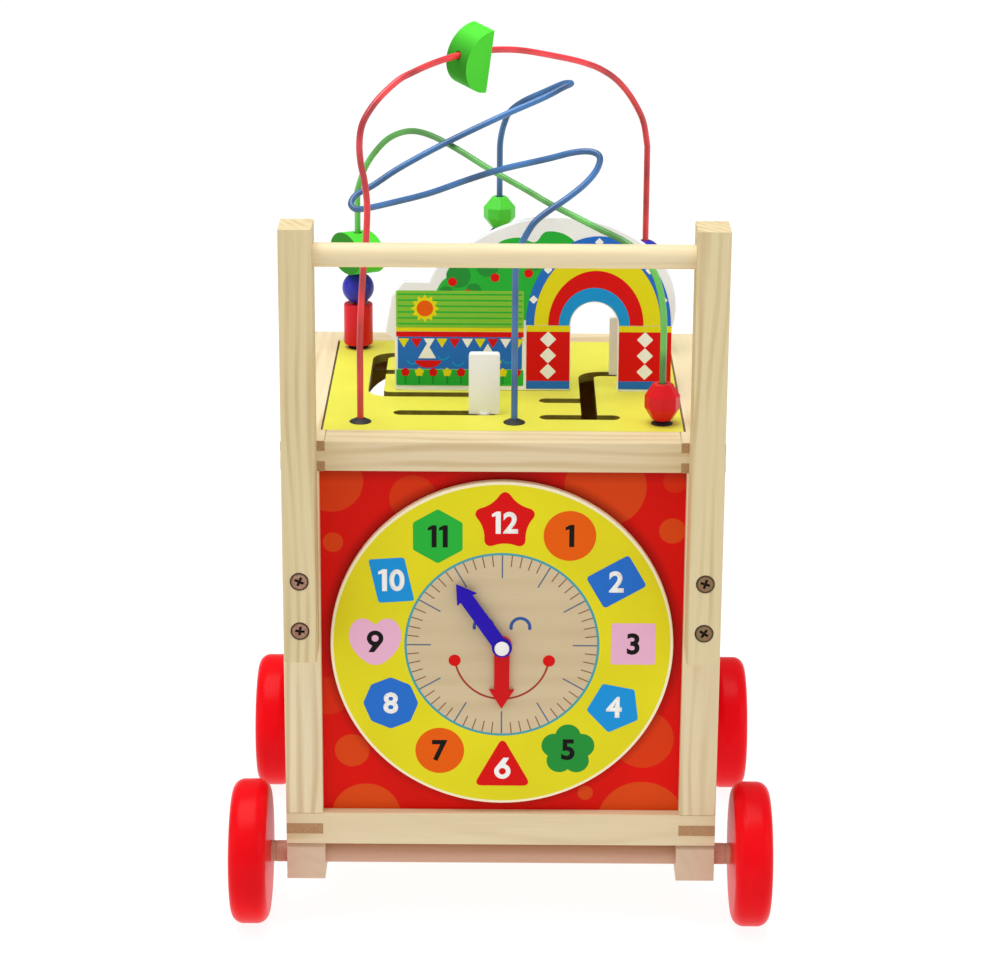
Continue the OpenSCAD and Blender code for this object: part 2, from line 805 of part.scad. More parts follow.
// A whole wire: two straight legs through the board and the bent stretch between them
module bead_wire(ends, leg_tops, bends, start) {
    bent_stretch = smooth_path(concat([leg_point(ends, 0, leg_tops[0])], bends,
        [leg_point(ends, 1, leg_tops[1])]), 3);
    translate([0, front_y, top_z]) swept_wire(concat([leg_point(ends, 0, -board_t)], bent_stretch,
        [leg_point(ends, 1, -board_t)]), start);
}

// A wire that lies in one upright plane
module planar_wire(ends, leg_tops, rise, fall) {
    d = ends[1] - ends[0];
    u = [d[0], d[1], 0] / norm(d);
    near = leg_point(ends, 0, 0);
    far = leg_point(ends, 1, 0);
    bends = concat([for (p = rise) near + p[0] * u + [0, 0, p[1]]],
        [for (p = fall) far - p[0] * u + [0, 0, p[1]]]);
    bead_wire(ends, leg_tops, bends, [-d[1], d[0], 0]);
}

module red_wire() {
    color("crimson") planar_wire(red_ends, red_leg_tops, concat(red_rise, red_arch), red_fall);
}

module green_wire() {
    color("green") planar_wire(green_ends, green_leg_tops, green_rise, green_fall);
}

module blue_wire() {
    bends = [for (p = blue_route) [p[0], front_row + p[1] * (back_row - front_row), p[2]]];
    color("royalblue") bead_wire(blue_ends, blue_leg_tops, bends, [0, 1, 0]);
}

module wire_grommets() {
    color("black") for (end = wire_ends)
        translate([end[0], front_y + end[1], top_z]) difference() {
            cylinder(d1 = grommet_d, d2 = wire_d + 2 * grommet_lip, h = grommet_h);
            translate([0, 0, -cut]) cylinder(d = wire_d, h = grommet_h + 2 * cut);
        }
}

// ---------- beads ----------
// Puts a bead on the leg of a wire, lift mm above the grommet
module on_leg(end, lift) {
    translate([end[0], front_y + end[1], bead_z + lift]) children();
}

module bore(h) {
    translate([0, 0, -cut]) cylinder(d = bead_bore, h = h + 2 * cut);
}

module cylinder_bead() {
    edge = 1;
    r = cylinder_bead_d / 2;
    difference() {
        rotate_extrude() polygon([[0, 0], [r - edge, 0], [r, edge], [r, cylinder_bead_h - edge],
            [r - edge, cylinder_bead_h], [0, cylinder_bead_h]]);
        bore(cylinder_bead_h);
    }
}

module ball_bead() {
    difference() {
        translate([0, 0, ball_bead_h / 2]) sphere(d = ball_bead_d);
        bore(ball_bead_h);
        translate([0, 0, -ball_bead_d]) cylinder(d = ball_bead_d, h = ball_bead_d);
        translate([0, 0, ball_bead_h]) cylinder(d = ball_bead_d, h = ball_bead_d);
    }
}

module facet_bead(d = facet_bead_d, h = facet_bead_h, end_d = facet_end_d) {
    difference() {
        rotate_extrude($fn = 8) polygon([[0, 0], [end_d / 2, 0], [d / 2, h / 3],
            [d / 2, h * 2 / 3], [end_d / 2, h], [0, h]]);
        bore(h);
    }
}

// An upright oval slab, bored through its short axis
module oval_bead() {
    difference() {
        translate([0, flat_bead_t / 2, oval_bead_h / 2]) rotate([90, 0, 0]) linear_extrude(flat_bead_t)
            polygon([for (a = [0 : 6 : 354]) [oval_bead_w / 2 * cos(a), oval_bead_h / 2 * sin(a)]]);
        bore(oval_bead_h);
    }
}

// Half of a disc that stands on its flat side, bored from the flat through the crown
module half_round_bead() {
    r = arch_bead_r;
    difference() {
        translate([-arch_bead_hang, 0, 0]) intersection() {
            translate([0, flat_bead_t / 2, 0]) rotate([90, 0, 0]) cylinder(r = r, h = flat_bead_t, $fn = 96);
            translate([-r, -flat_bead_t, 0]) cube([2 * r, 2 * flat_bead_t, r]);
        }
        bore(r);
    }
}

module bead_front_right() {
    color("crimson") on_leg(green_ends[0], 0) facet_bead();
}

// The bead on the red arch, turned to lie along the wire
module bead_red_arch() {
    d = red_ends[1] - red_ends[0];
    plane_turn = atan2(d[1], d[0]);
    mid = arch_bead_s + arch_bead_r / 2 - red_arch_s;
    tilt = asin(mid / red_arch_r);
    bow = arch_bead_r ^ 2 / (8 * red_arch_r);
    color("limegreen") translate([red_ends[0][0], front_y + red_ends[0][1], top_z])
        rotate([0, 0, plane_turn]) translate([red_arch_s, 0, red_arch_top - red_arch_r])
            rotate([0, tilt, 0]) translate([arch_bead_r / 2, 0, red_arch_r - bow])
                rotate([0, -90, 0]) rotate([0, 0, arch_bead_roll]) half_round_bead();
}

left_2_lift = cylinder_bead_h + seat_gap;
left_3_lift = left_2_lift + ball_bead_h + seat_gap;

module bead_left_1() {
    color("red") on_leg(green_ends[1], 0) cylinder_bead();
}

module bead_left_2() {
    color("mediumblue") on_leg(green_ends[1], left_2_lift) ball_bead();
}

module bead_left_3() {
    color("limegreen") on_leg(green_ends[1], left_3_lift) rotate([0, 0, oval_bead_turn]) oval_bead();
}

middle_2_lift = cylinder_bead_h + seat_gap;
middle_3_lift = middle_2_lift + cylinder_bead_h + seat_gap;
middle_4_lift = middle_3_lift + facet_bead_h + seat_gap;

module bead_middle_1() {
    color("red") on_leg(blue_ends[1], 0) cylinder_bead();
}

module bead_middle_2() {
    color("gold") on_leg(blue_ends[1], middle_2_lift) cylinder_bead();
}

module bead_middle_3() {
    color("mediumblue") on_leg(blue_ends[1], middle_3_lift)
        facet_bead(middle_bead_d, facet_bead_h, middle_end_d);
}

module bead_middle_4() {
    color("limegreen") on_leg(blue_ends[1], middle_4_lift)
        facet_bead(middle_bead_d, middle_bead_h, middle_end_d);
}

right_2_lift = facet_bead_h + seat_gap;
right_3_lift = right_2_lift + cylinder_bead_h + seat_gap;

module bead_right_1() {
    color("limegreen") on_leg(red_ends[1], 0) facet_bead();
}

module bead_right_2() {
    color("gold") on_leg(red_ends[1], right_2_lift) cylinder_bead();
}

module bead_right_3() {
    color("mediumblue") on_leg(red_ends[1], right_3_lift) ball_bead();
}

bottom_rail_front();
bottom_rail_rear();
bottom_rail_left();
bottom_rail_right();
top_rail_front();
top_rail_rear();
top_rail_left();
top_rail_right();
corner_post_front_left();
corner_post_front_right();
corner_post_rear_left();
corner_post_rear_right();
axle_block_front_left();
axle_block_front_right();
axle_block_rear_left();
axle_block_rear_right();
clock_panel();
side_panel_left();
side_panel_right();
back_panel();
floor_panel();
top_board();
scenery_board();
handle_post_left();
handle_post_right();
handle_bar();
handle_screws();
clock_disc();
clock_pin();
clock_pin_nut();
hour_hand();
minute_hand();
front_axle();
rear_axle();
wheel_front_left();
wheel_front_right();
wheel_rear_left();
wheel_rear_right();
red_wire();
blue_wire();
green_wire();
wire_grommets();
bead_front_right();
bead_red_arch();
bead_left_1();
bead_left_2();
bead_left_3();
bead_middle_1();
bead_middle_2();
bead_middle_3();
bead_middle_4();
bead_right_1();
bead_right_2();
bead_right_3();
figure_left();
figure_left_keeper();
figure_right();
figure_right_keeper();
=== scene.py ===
import math

import bmesh
import bpy
from mathutils import Matrix, Vector


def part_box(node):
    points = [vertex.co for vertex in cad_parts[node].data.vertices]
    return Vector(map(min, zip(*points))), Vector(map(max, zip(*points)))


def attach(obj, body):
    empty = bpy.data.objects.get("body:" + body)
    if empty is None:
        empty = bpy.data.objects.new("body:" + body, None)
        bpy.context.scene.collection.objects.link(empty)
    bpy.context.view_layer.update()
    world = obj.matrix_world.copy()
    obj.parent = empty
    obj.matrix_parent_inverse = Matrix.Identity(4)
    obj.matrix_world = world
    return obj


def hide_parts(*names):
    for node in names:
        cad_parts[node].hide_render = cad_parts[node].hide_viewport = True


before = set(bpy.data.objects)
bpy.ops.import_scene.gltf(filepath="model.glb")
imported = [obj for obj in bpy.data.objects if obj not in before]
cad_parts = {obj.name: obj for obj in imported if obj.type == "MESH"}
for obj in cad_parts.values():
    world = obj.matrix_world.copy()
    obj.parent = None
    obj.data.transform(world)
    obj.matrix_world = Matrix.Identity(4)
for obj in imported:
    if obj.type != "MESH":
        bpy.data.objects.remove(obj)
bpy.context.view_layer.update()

bl_info = {
    "name": "Wooden Baby Walker",
    "version": (1, 0, 0),
    "blender": (4, 5, 0),
    "location": "3D View > Sidebar > Walker",
    "description": "Dresses a wooden push-along walker: eased pine, turned wheels, printed clock, bead wires",
    "category": "Object",
}

MM = 0.001
RIGHT = Vector((1.0, 0.0, 0.0))
AWAY = Vector((0.0, 1.0, 0.0))
UP = Vector((0.0, 0.0, 1.0))
TURN = 2 * math.pi
WELD = 1e-6

# Sizes of the frame's pieces that their boxes don't tell
WHEEL_ROUND, WHEEL_DOME, AXLE_SOCKET = 8 * MM, 1 * MM, 18 * MM
SCREW_LOW, SCREW_PITCH, SCREW_LENGTH = 21 * MM, 33 * MM, 46 * MM
HEAD_RADIUS, SHANK_RADIUS = 6.25 * MM, 2.5 * MM
PIN_BORE, PIN_STEM, PIN_CAP = 2.5 * MM, 2.45 * MM, 3 * MM
BEAD_BORE, GROMMET_RADIUS = 2.85 * MM, 7 * MM


def linear(hex_colour):
    """An sRGB hex colour as linear red, green, blue and alpha."""
    shares = [int(hex_colour[i:i + 2], 16) / 255 for i in (1, 3, 5)]
    return tuple(c / 12.92 if c <= 0.04045 else ((c + 0.055) / 1.055) ** 2.4 for c in shares) + (1.0,)


def length(name, about, millimetres):
    return bpy.props.FloatProperty(
        name=name, description=about, default=millimetres * MM, min=0.0, precision=5, unit="LENGTH")


def colour(name, about, hex_colour):
    return bpy.props.FloatVectorProperty(
        name=name, description=about, default=linear(hex_colour), size=4, min=0.0, max=1.0, subtype="COLOR")


class WalkerSizes(bpy.types.PropertyGroup):
    """Sizes of the details that the frame leaves open"""
    rail_round: length("Rail rounding", "Rounding along the edges of rails and posts", 1.2)
    post_round: length("Post rounding", "Rounding along the edges of the corner posts", 1.0)
    joint_ease: length("Joint easing", "Tiny bevel where rails and posts meet", 0.3)
    block_round: length("Block rounding", "Rounding of the axle blocks", 1.2)
    board_ease: length("Board easing", "Bevel along the cut edges of the top board", 0.5)
    paint_ease: length("Painted edge", "Rounding of painted boards and figures", 1.0)
    bead_ease: length("Bead rounding", "Rounding of the cut edges of the beads", 1.3)
    facet_ease: length("Facet easing", "Bevel between the facets of the faceted beads", 0.45)
    hand_ease: length("Hand rounding", "Rounding of the clock hands", 0.7)
    ink_level: length("Ink thickness", "Height of one layer of print", 0.06)
    ink_sink: length("Ink sink", "How deep a print is rooted in the board under it", 0.05)
    dial_radius: length("Dial radius", "Outer radius of the bare wooden dial", 61.0)
    dial_line: length("Dial line", "Width of the blue line round the dial", 1.6)
    rim_width: length("Rim width", "Width of the bare rim round the clock disc", 1.9)
    badge_radius: length("Badge radius", "Radius of a round badge", 16.7)
    digit_height: length("Digit height", "Height of the numbers on the badges", 14.8)
    digit_weight: length("Digit weight", "How much the numbers' strokes are thickened", 0.6)
    one_width: length("Width of a one", "Width of the upright bar of the digit one", 3.2)
    digit_gap: length("Digit gap", "Space between the two digits of a number", 1.5)
    wire_coat: length("Wire diameter", "Diameter of the coated wires", 4.2)


class WalkerColours(bpy.types.PropertyGroup):
    """Colours of the finishes"""
    pine_light: colour("Pine, early wood", "Light wood between the growth rings", "#ecdcb6")
    pine_dark: colour("Pine, late wood", "Darker lines of the growth rings", "#cbb083")
    # Painted shade: the handle posts' pine is a darker copy of the pine above
    handle_light: colour("Handle pine, early wood", "Light wood of the handle posts", "#e0cfa3")
    handle_dark: colour("Handle pine, late wood", "Darker lines of the handle posts", "#c3aa79")
    pine_end: colour("Pine, end grain", "End grain at the corner joints", "#a97c52")
    block_light: colour("Block beech, light", "Ground colour of the axle blocks", "#dcc3a6")
    block_dark: colour("Block beech, dark", "Flecks of the axle blocks", "#c9aa8a")
    dowel_light: colour("Dowel beech, light", "Ground colour of the axles", "#d0a286")
    dowel_dark: colour("Dowel beech, dark", "Flecks of the axles", "#b98568")
    birch_light: colour("Birch, light", "Ground colour of the bare dial", "#d6c19c")
    birch_dark: colour("Birch, dark", "Figure of the bare dial", "#c3ac85")
    wheel_red: colour("Wheel red", "Gloss paint of the wheels", "#f00a16")
    panel_red: colour("Panel red", "Ground of the printed panels", "#e41005")
    panel_orange: colour("Panel orange", "Circles on the printed panels", "#de5014")
    board_yellow: colour("Board yellow", "Paint of the top board and back panel", "#e4e04e")
    print_yellow: colour("Print yellow", "Ring of the clock", "#e6da1c")
    print_red: colour("Print red", "Red ink", "#dc1412")
    print_orange: colour("Print orange", "Orange ink", "#ea600c")
    print_blue: colour("Print blue", "Blue ink", "#2a70cc")
    print_sky: colour("Print sky blue", "Light blue ink", "#1e94da")
    print_green: colour("Print green", "Green ink", "#2cb43c")
    print_lime: colour("Print lime", "Light green ink", "#86c43c")
    print_leaf: colour("Print leaf green", "Dark green ink", "#28913a")
    print_pink: colour("Print pink", "Pink ink", "#ecb4d0")
    print_black: colour("Print black", "Black ink", "#1a1716")
    print_teal: colour("Print teal", "Line round the dial", "#4a9ea6")
    print_white: colour("Print white", "White ink", "#f7f6f2")
    print_slate: colour("Print slate", "Grey-blue ink of the hour marks", "#5d6d84")
    print_brown: colour("Print brown", "Brown ink of the minute marks", "#8f6244")
    print_navy: colour("Print navy", "Dark blue ink of the eyes", "#3a5c9c")
    print_rust: colour("Print rust", "Rust red ink of the smile", "#a8432f")
    wire_red: colour("Wire red", "Red powder coat", "#c9242c")
    wire_blue: colour("Wire blue", "Blue powder coat", "#2a5e94")
    wire_green: colour("Wire green", "Green powder coat", "#4c9a3e")
    bead_red: colour("Bead red", "Red bead lacquer", "#e0101e")
    bead_blue: colour("Bead blue", "Blue bead lacquer", "#3030b0")
    bead_green: colour("Bead green", "Green bead lacquer", "#57dc3f")
    bead_yellow: colour("Bead yellow", "Yellow bead lacquer", "#f0c81c")
    hand_blue: colour("Hand blue", "Plastic of the long hand", "#2608b2")
    hand_red: colour("Hand red", "Plastic of the short hand", "#d80c10")
    figure_white: colour("White lacquer", "Sliding figures and scenery board", "#f8f8f9")
    screw_bronze: colour("Screw bronze", "Bronzed screw heads", "#96684f")
    floor_pale: colour("Floor", "Sheet of the light table", "#767676")


def sizes():
    return bpy.context.scene.walker_sizes


def paint(name):
    """A colour of the panel, by its name."""
    return tuple(getattr(bpy.context.scene.walker_colours, name))


def toned(shade, share, lift=0.0):
    """A colour made deeper or lighter by a share."""
    return tuple(min(1.0, share * c + lift) for c in shade[:3]) + (1.0,)


# ---------- materials ----------
def add(tree, kind, sockets=None, out=0, **fields):
    """Adds a node, with its own fields and its inputs as values or links, and returns one of its outputs."""
    made = tree.nodes.new("ShaderNode" + kind)
    for field, value in fields.items():
        setattr(made, field, value)
    for socket, value in (sockets or {}).items():
        if isinstance(value, bpy.types.NodeSocket):
            tree.links.new(value, made.inputs[socket])
        else:
            made.inputs[socket].default_value = value
    return made.outputs[out] if len(made.outputs) else None


def fade(tree, value, span, first, second, share=(0.0, 1.0)):
    """A colour that goes from first to second as a value crosses a span, from the least share to the most."""
    way = add(tree, "MapRange", {0: value, 1: span[0], 2: span[1], 3: share[0], 4: share[1]})
    return add(tree, "Mix", {0: way, 6: first, 7: second}, 2, data_type="RGBA")


def normal_along(tree, axis):
    """How far the surface faces along an axis, from -1 to 1."""
    return add(tree, "SeparateXYZ", {0: add(tree, "TexCoord", out="Normal")}, axis)


def facing(tree, axis, walls, faces):
    """One shade where the surface faces along an axis, either way, and another on the walls between."""
    towards = add(tree, "Math", {0: normal_along(tree, axis)}, operation="ABSOLUTE")
    return fade(tree, towards, (0.75, 0.9), walls, faces)


def finish_of(name, recipe, *settings):
    """The material of that name, made by its recipe the first time it is asked for."""
    made = bpy.data.materials.get(name)
    if made is None:
        made = bpy.data.materials.new(name)
        made.use_nodes = True
        made.node_tree.nodes.clear()
        recipe(made.node_tree, *settings)
    return made


def close(tree, shade, height=None, depth=0.02 * MM, **sockets):
    """Ends a recipe: the shader with its constants, a bump from a height, and the output."""
    settings = {"Base Color": shade}
    settings.update({name.replace("_", " "): value for name, value in sockets.items()})
    if height is not None:
        settings["Normal"] = add(tree, "Bump", {"Height": height, "Strength": 0.6, "Distance": depth})
    add(tree, "OutputMaterial", {"Surface": add(tree, "BsdfPrincipled", settings)})


def mottled(tree, first, second, size, detail, depth, **finish):
    """Ends a recipe for an even finish whose tone and surface drift together, over so many millimetres."""
    place = add(tree, "TexCoord", out="Object")
    drift = add(tree, "TexNoise", {"Vector": place, "Scale": 1 / (size * MM), "Detail": detail})
    shade = add(tree, "Mix", {0: drift, 6: first, 7: second}, 2, data_type="RGBA")
    close(tree, shade, drift if depth else None, depth, **finish)


def squeezed(grain, share):
    """A scale that leaves the cross section and draws a pattern out along the grain."""
    return tuple(share if axis == grain else 1.0 for axis in "XYZ")


def wood_shades(tree, grain, light, dark, ring, pith, figure=0.75):
    """Growth rings that wander and fade, board tone and fibres: a sawn board's colour and a fibre height."""
    place = add(tree, "TexCoord", out="Object")
    lean = tuple(math.radians(9) if axis == "YZX"["XYZ".index(grain)] else 0.0 for axis in "XYZ")
    board = add(tree, "Mapping", {
        "Vector": place, "Location": pith, "Rotation": lean, "Scale": squeezed(grain, 0.14)})
    drift = add(tree, "TexNoise", {"Vector": board, "Scale": 1 / (26 * MM), "Detail": 1.5}, "Color")
    bent = add(tree, "VectorMath", {0: drift, 1: (18 * MM,) * 3, 2: board}, operation="MULTIPLY_ADD")
    rings = add(tree, "TexWave", {"Vector": bent, "Scale": TURN / (20 * ring)}, "Fac",
                wave_type="RINGS", rings_direction=grain, wave_profile="SIN")
    fading = add(tree, "TexNoise", {"Vector": board, "Scale": 1 / (17 * MM), "Detail": 1.0})
    strength = add(tree, "MapRange", {0: fading, 1: 0.36, 2: 0.64, 3: 0.12 * figure, 4: figure})
    late = add(tree, "MapRange", {0: rings, 1: 0.35, 2: 1.0})
    lines = add(tree, "Math", {0: late, 1: strength}, operation="MULTIPLY")
    along = add(tree, "Mapping", {"Vector": place, "Scale": squeezed(grain, 0.03)})
    # Fibre bundles are 0.1 mm wide; drawn at 1.2 mm, as fine as a view of the whole walker shows
    fibres = add(tree, "TexNoise", {
        "Vector": along, "Scale": 1 / (1.2 * MM), "Detail": 3.0, "Roughness": 0.6})
    tone = add(tree, "TexNoise", {"Vector": along, "Scale": 1 / (38 * MM), "Detail": 1.0})
    ground = add(tree, "Mix", {0: lines, 6: light, 7: dark}, 2, data_type="RGBA")
    streaky = fade(tree, fibres, (0.3, 0.75), ground, dark, (0.0, 0.22))
    return fade(tree, tone, (0.35, 0.7), streaky, dark, (0.0, 0.3)), fibres


# Where the pith of the tree lies for boards cut along each axis
PITH = {"X": (0.0, -0.17, -0.02), "Y": (-0.21, 0.0, 0.03), "Z": (-0.52, -0.14, 0.0)}


# Pine, planed, sanded and given one coat of matt lacquer: soft growth rings that wander and fade,
# fine fibres that catch a soft sheen, and brown end grain where a rail is cut across
def pine(tree, grain, pith, tone, figure):
    light, dark = paint(tone + "_light"), paint(tone + "_dark")
    shade, fibres = wood_shades(tree, grain, light, dark, 6.5 * MM, pith, figure)
    if grain != "Z":
        end = fade(tree, fibres, (0.3, 0.7), paint("pine_end"), paint("pine_dark"), (0.0, 0.5))
        shade = facing(tree, grain, shade, end)
    close(tree, shade, fibres, 0.04 * MM, Roughness=0.5, Specular_IOR_Level=0.25)


def pine_along(grain, tone="pine", figure=0.75):
    return finish_of(f"{tone}_grain_{grain.lower()}", pine, grain, PITH[grain], tone, figure)


# Beech, turned or sawn and sanded: a pinkish ground with short brown flecks and hardly any rings
def beech(tree, grain, tone):
    light, dark = paint(tone + "_light"), paint(tone + "_dark")
    shade, fibres = wood_shades(tree, grain, light, dark, 9 * MM, (0.1, 0.06, 0.03), 0.3)
    place = add(tree, "Mapping", {
        "Vector": add(tree, "TexCoord", out="Object"), "Scale": squeezed(grain, 0.25)})
    flecks = add(tree, "TexVoronoi", {"Vector": place, "Scale": 1 / (1.6 * MM)})
    close(tree, fade(tree, flecks, (0.05, 0.3), shade, dark, (0.3, 0.0)), fibres, 0.04 * MM, Roughness=0.55)


# Bare birch plywood, sanded: pale, with a soft figure
def plywood(tree, grain):
    light, dark = paint("birch_light"), paint("birch_dark")
    shade, fibres = wood_shades(tree, grain, light, dark, 9 * MM, (0.3, 0.2, 0.1), 0.5)
    close(tree, shade, fibres, 0.04 * MM, Roughness=0.6)


# Gloss enamel sprayed on turned wood: deep colour, a clear coat, faint orange peel and tone drift;
# on the sawn beads, painted shade darkens the sides that face left, as if the light came from the right
def enamel(tree, name, gloss, hung=False):
    place = add(tree, "TexCoord", out="Object")
    drift = add(tree, "TexNoise", {"Vector": place, "Scale": 1 / (45 * MM), "Detail": 1.0})
    peel = add(tree, "TexNoise", {"Vector": place, "Scale": 1 / (2.2 * MM), "Detail": 2.0})
    shade = paint(name)
    coat = fade(tree, drift, (0.3, 0.7), shade, toned(shade, 0.78), (0.0, 0.6))
    # Painted shade: faces turned left, towards -X, darken to about a third of the colour
    if hung:
        coat = fade(tree, normal_along(tree, "X"), (-0.25, -0.75), coat, toned(shade, 0.35))
    close(tree, coat, peel, 0.03 * MM, Roughness=0.34, Specular_IOR_Level=gloss,
          Coat_Weight=gloss / 2, Coat_Roughness=0.14)


def painted_shades(tree, name):
    """Rolled paint that pools a little: its colour and the height of the roller's texture."""
    place = add(tree, "TexCoord", out="Object")
    pool = add(tree, "TexNoise", {"Vector": place, "Scale": 1 / (60 * MM), "Detail": 2.0})
    roller = add(tree, "TexNoise", {"Vector": place, "Scale": 1 / (1.4 * MM), "Detail": 2.0})
    return fade(tree, pool, (0.35, 0.7), paint(name), toned(paint(name), 0.86), (0.0, 0.55)), roller


# Silk paint rolled on birch plywood: roller texture and a little pooling, and cut walls striped by
# the plies and mottled, coloured a dark olive that is painted shade of the walls down in the cuts
def edged_silk(tree, name, axis):
    shade, roller = painted_shades(tree, name)
    place = add(tree, "TexCoord", out="Object")
    level = add(tree, "SeparateXYZ", {0: place}, axis)
    turns = add(tree, "Math", {0: level, 1: TURN / (1.5 * MM)}, operation="MULTIPLY")
    plies = add(tree, "Math", {0: turns}, operation="SINE")
    wall_mottle = add(tree, "TexNoise", {"Vector": place, "Scale": 1 / (7 * MM), "Detail": 2.0})
    # Painted shade: the cut walls are a dark olive, striped by the plies and darkened in patches
    shaded_wall = fade(tree, plies, (-0.4, 0.4), linear("#a39638"), linear("#8a7c2e"))
    shaded_wall = fade(tree, wall_mottle, (0.3, 0.7), shaded_wall, linear("#6e6226"), (0.0, 0.6))
    close(tree, facing(tree, axis, shaded_wall, shade), roller, 0.03 * MM, Roughness=0.45,
          Specular_IOR_Level=0.15)


# Offset-printed paper laminated on plywood: a red ground with see-through orange circles of all
# sizes, painted shadow round the clock disc and along the top, and the smooth gloss of the film
def circle_print(tree, axes, circles, disc_shadow_at=None, disc_shadow_radius=0.0, top=0.0):
    flatten = tuple(1.0 if axis in axes else 0.0 for axis in "XYZ")
    place = add(tree, "Mapping", {"Vector": add(tree, "TexCoord", out="Object"), "Scale": flatten})
    cloud = add(tree, "TexNoise", {"Vector": place, "Scale": 1 / (70 * MM), "Detail": 1.0})
    shade = fade(tree, cloud, (0.35, 0.65), paint("panel_red"), linear("#c41406"), (0.0, 0.35))
    blur = 0.25
    for across, height, radius, share in circles:
        centre = tuple({axes[0]: across * MM, "Z": height * MM}.get(axis, 0.0) for axis in "XYZ")
        away = add(tree, "VectorMath", {0: place, 1: centre}, "Value", operation="DISTANCE")
        edge = ((radius + blur) * MM, (radius - blur) * MM)
        shade = fade(tree, away, edge, shade, paint("panel_orange"), (0.0, share))
    # Painted shadow: darker along the top, under the rail, and in a ring round the clock disc
    if disc_shadow_at is not None:
        shadow = linear("#7a0c04")
        rise = add(tree, "SeparateXYZ", {0: place}, "Z")
        shade = fade(tree, rise, (top - 10 * MM, top), shade, shadow, (0.0, 0.6))
        away = add(tree, "VectorMath", {0: place, 1: disc_shadow_at}, "Value", operation="DISTANCE")
        shade = fade(tree, away, (disc_shadow_radius + 7 * MM, disc_shadow_radius - 1 * MM), shade, shadow, (0.0, 0.7))
    film = add(tree, "TexNoise", {"Vector": place, "Scale": 1 / (3 * MM), "Detail": 1.0})
    close(tree, shade, film, 0.015 * MM, Roughness=0.4, Specular_IOR_Level=0.08)


# The clock disc: bare sanded birch in the middle and round the rim, with a yellow screen-printed
# ring between and a thin blue line where they meet
def clock_face(tree, centre, radius):
    s = sizes()
    light, dark = paint("birch_light"), paint("birch_dark")
    shade, fibres = wood_shades(tree, "X", light, dark, 16 * MM, (0.0, 0.3, -0.9), 0.35)
    flat = add(tree, "Mapping", {
        "Vector": add(tree, "TexCoord", out="Object"), "Location": (-centre.x, 0.0, -centre.z),
        "Scale": (1.0, 0.0, 1.0)})
    away = add(tree, "VectorMath", {0: flat}, "Value", operation="LENGTH")
    yellow, _ = painted_shades(tree, "print_yellow")
    rim = linear("#f7ebc8")
    blur = 0.1 * MM
    for start, tint in ((s.dial_radius, paint("print_teal")), (s.dial_radius + s.dial_line, yellow),
                        (radius - s.rim_width, rim)):
        shade = fade(tree, away, (start - blur, start + blur), shade, tint)
    shade = fade(tree, normal_along(tree, "Y"), (-0.75, -0.9), rim, shade)
    close(tree, shade, fibres, 0.02 * MM, Roughness=0.45, Specular_IOR_Level=0.12)


# Screen-print ink: an even, slightly raised film with a satin face
def ink(tree, name):
    shade = paint(name)
    mottled(tree, shade, toned(shade, 0.94, 0.003), 9, 2.0, 0.01 * MM, Roughness=0.45,
            Specular_IOR_Level=0.05)


# Epoxy powder coat baked on steel wire: smooth, slightly lumpy, with a soft highlight and long
# stretches painted lighter and darker as painted reflection and painted shade
def powder_coat(tree, name):
    place = add(tree, "TexCoord", out="Object")
    lumps = add(tree, "TexNoise", {"Vector": place, "Scale": 1 / (1.1 * MM), "Detail": 2.0})
    drift = add(tree, "TexNoise", {"Vector": place, "Scale": 1 / (30 * MM), "Detail": 1.0})
    # Painted reflection and painted shade: the coat drifts between a much lighter and a darker tone
    painted_glint, painted_dimming = (toned(paint(name), share, 0.015) for share in (1.6, 0.7))
    close(tree, fade(tree, drift, (0.35, 0.65), painted_glint, painted_dimming), lumps, 0.01 * MM, Roughness=0.32,
          Specular_IOR_Level=0.6)


# Injection-moulded ABS: saturated, glossy, with faint flow marks
def moulded_plastic(tree, name):
    mottled(tree, paint(name), toned(paint(name), 0.85), 12, 2.0, 0.03 * MM, Roughness=0.28,
            Specular_IOR_Level=0.12)


# Bronzed steel: reddish brown metal, worn bright in the middle of each head by the driver, with
# painted shade darkening it round the rim of each head and down in its cross
def bronzed_steel(tree, heads):
    place = add(tree, "TexCoord", out="Object")
    wear = add(tree, "TexNoise", {"Vector": place, "Scale": 1 / (1.5 * MM), "Detail": 3.0})
    # Painted shade: all but the worn middle of each head starts dark, the head's rim included
    shade = fade(tree, wear, (0.35, 0.65), linear("#4e3826"), linear("#33241a"))
    for head in heads:
        away = add(tree, "VectorMath", {0: place, 1: head}, "Value", operation="DISTANCE")
        bright = linear("#b08c7a" if head.x < 0 else "#7c7248")
        worn = fade(tree, wear, (0.35, 0.65), paint("screw_bronze"), bright)
        shade = fade(tree, away, (0.85 * HEAD_RADIUS, 0.7 * HEAD_RADIUS), shade, worn)
    # Painted shade: what lies deeper than the face of the heads, the cross and the rim, is darkened further
    depth = add(tree, "SeparateXYZ", {0: place}, "Y")
    face = heads[0].y
    shade = fade(tree, depth, (face + 0.5 * MM, face + 0.9 * MM), shade, linear("#20150e"))
    close(tree, shade, wear, 0.05 * MM, Metallic=0.6, Roughness=0.45)


# Zinc-plated steel: pale grey with a mottled bloom
def zinc_plate(tree):
    mottled(tree, linear("#a9abac"), linear("#d4d5d4"), 4, 3.0, 0.02 * MM, Metallic=1.0, Roughness=0.35)


# Moulded rubber: near black, matt, with a fine tooth
def moulded_rubber(tree):
    mottled(tree, linear("#17161a"), linear("#2a2a2e"), 0.8, 2.0, 0.05 * MM, Roughness=0.6)


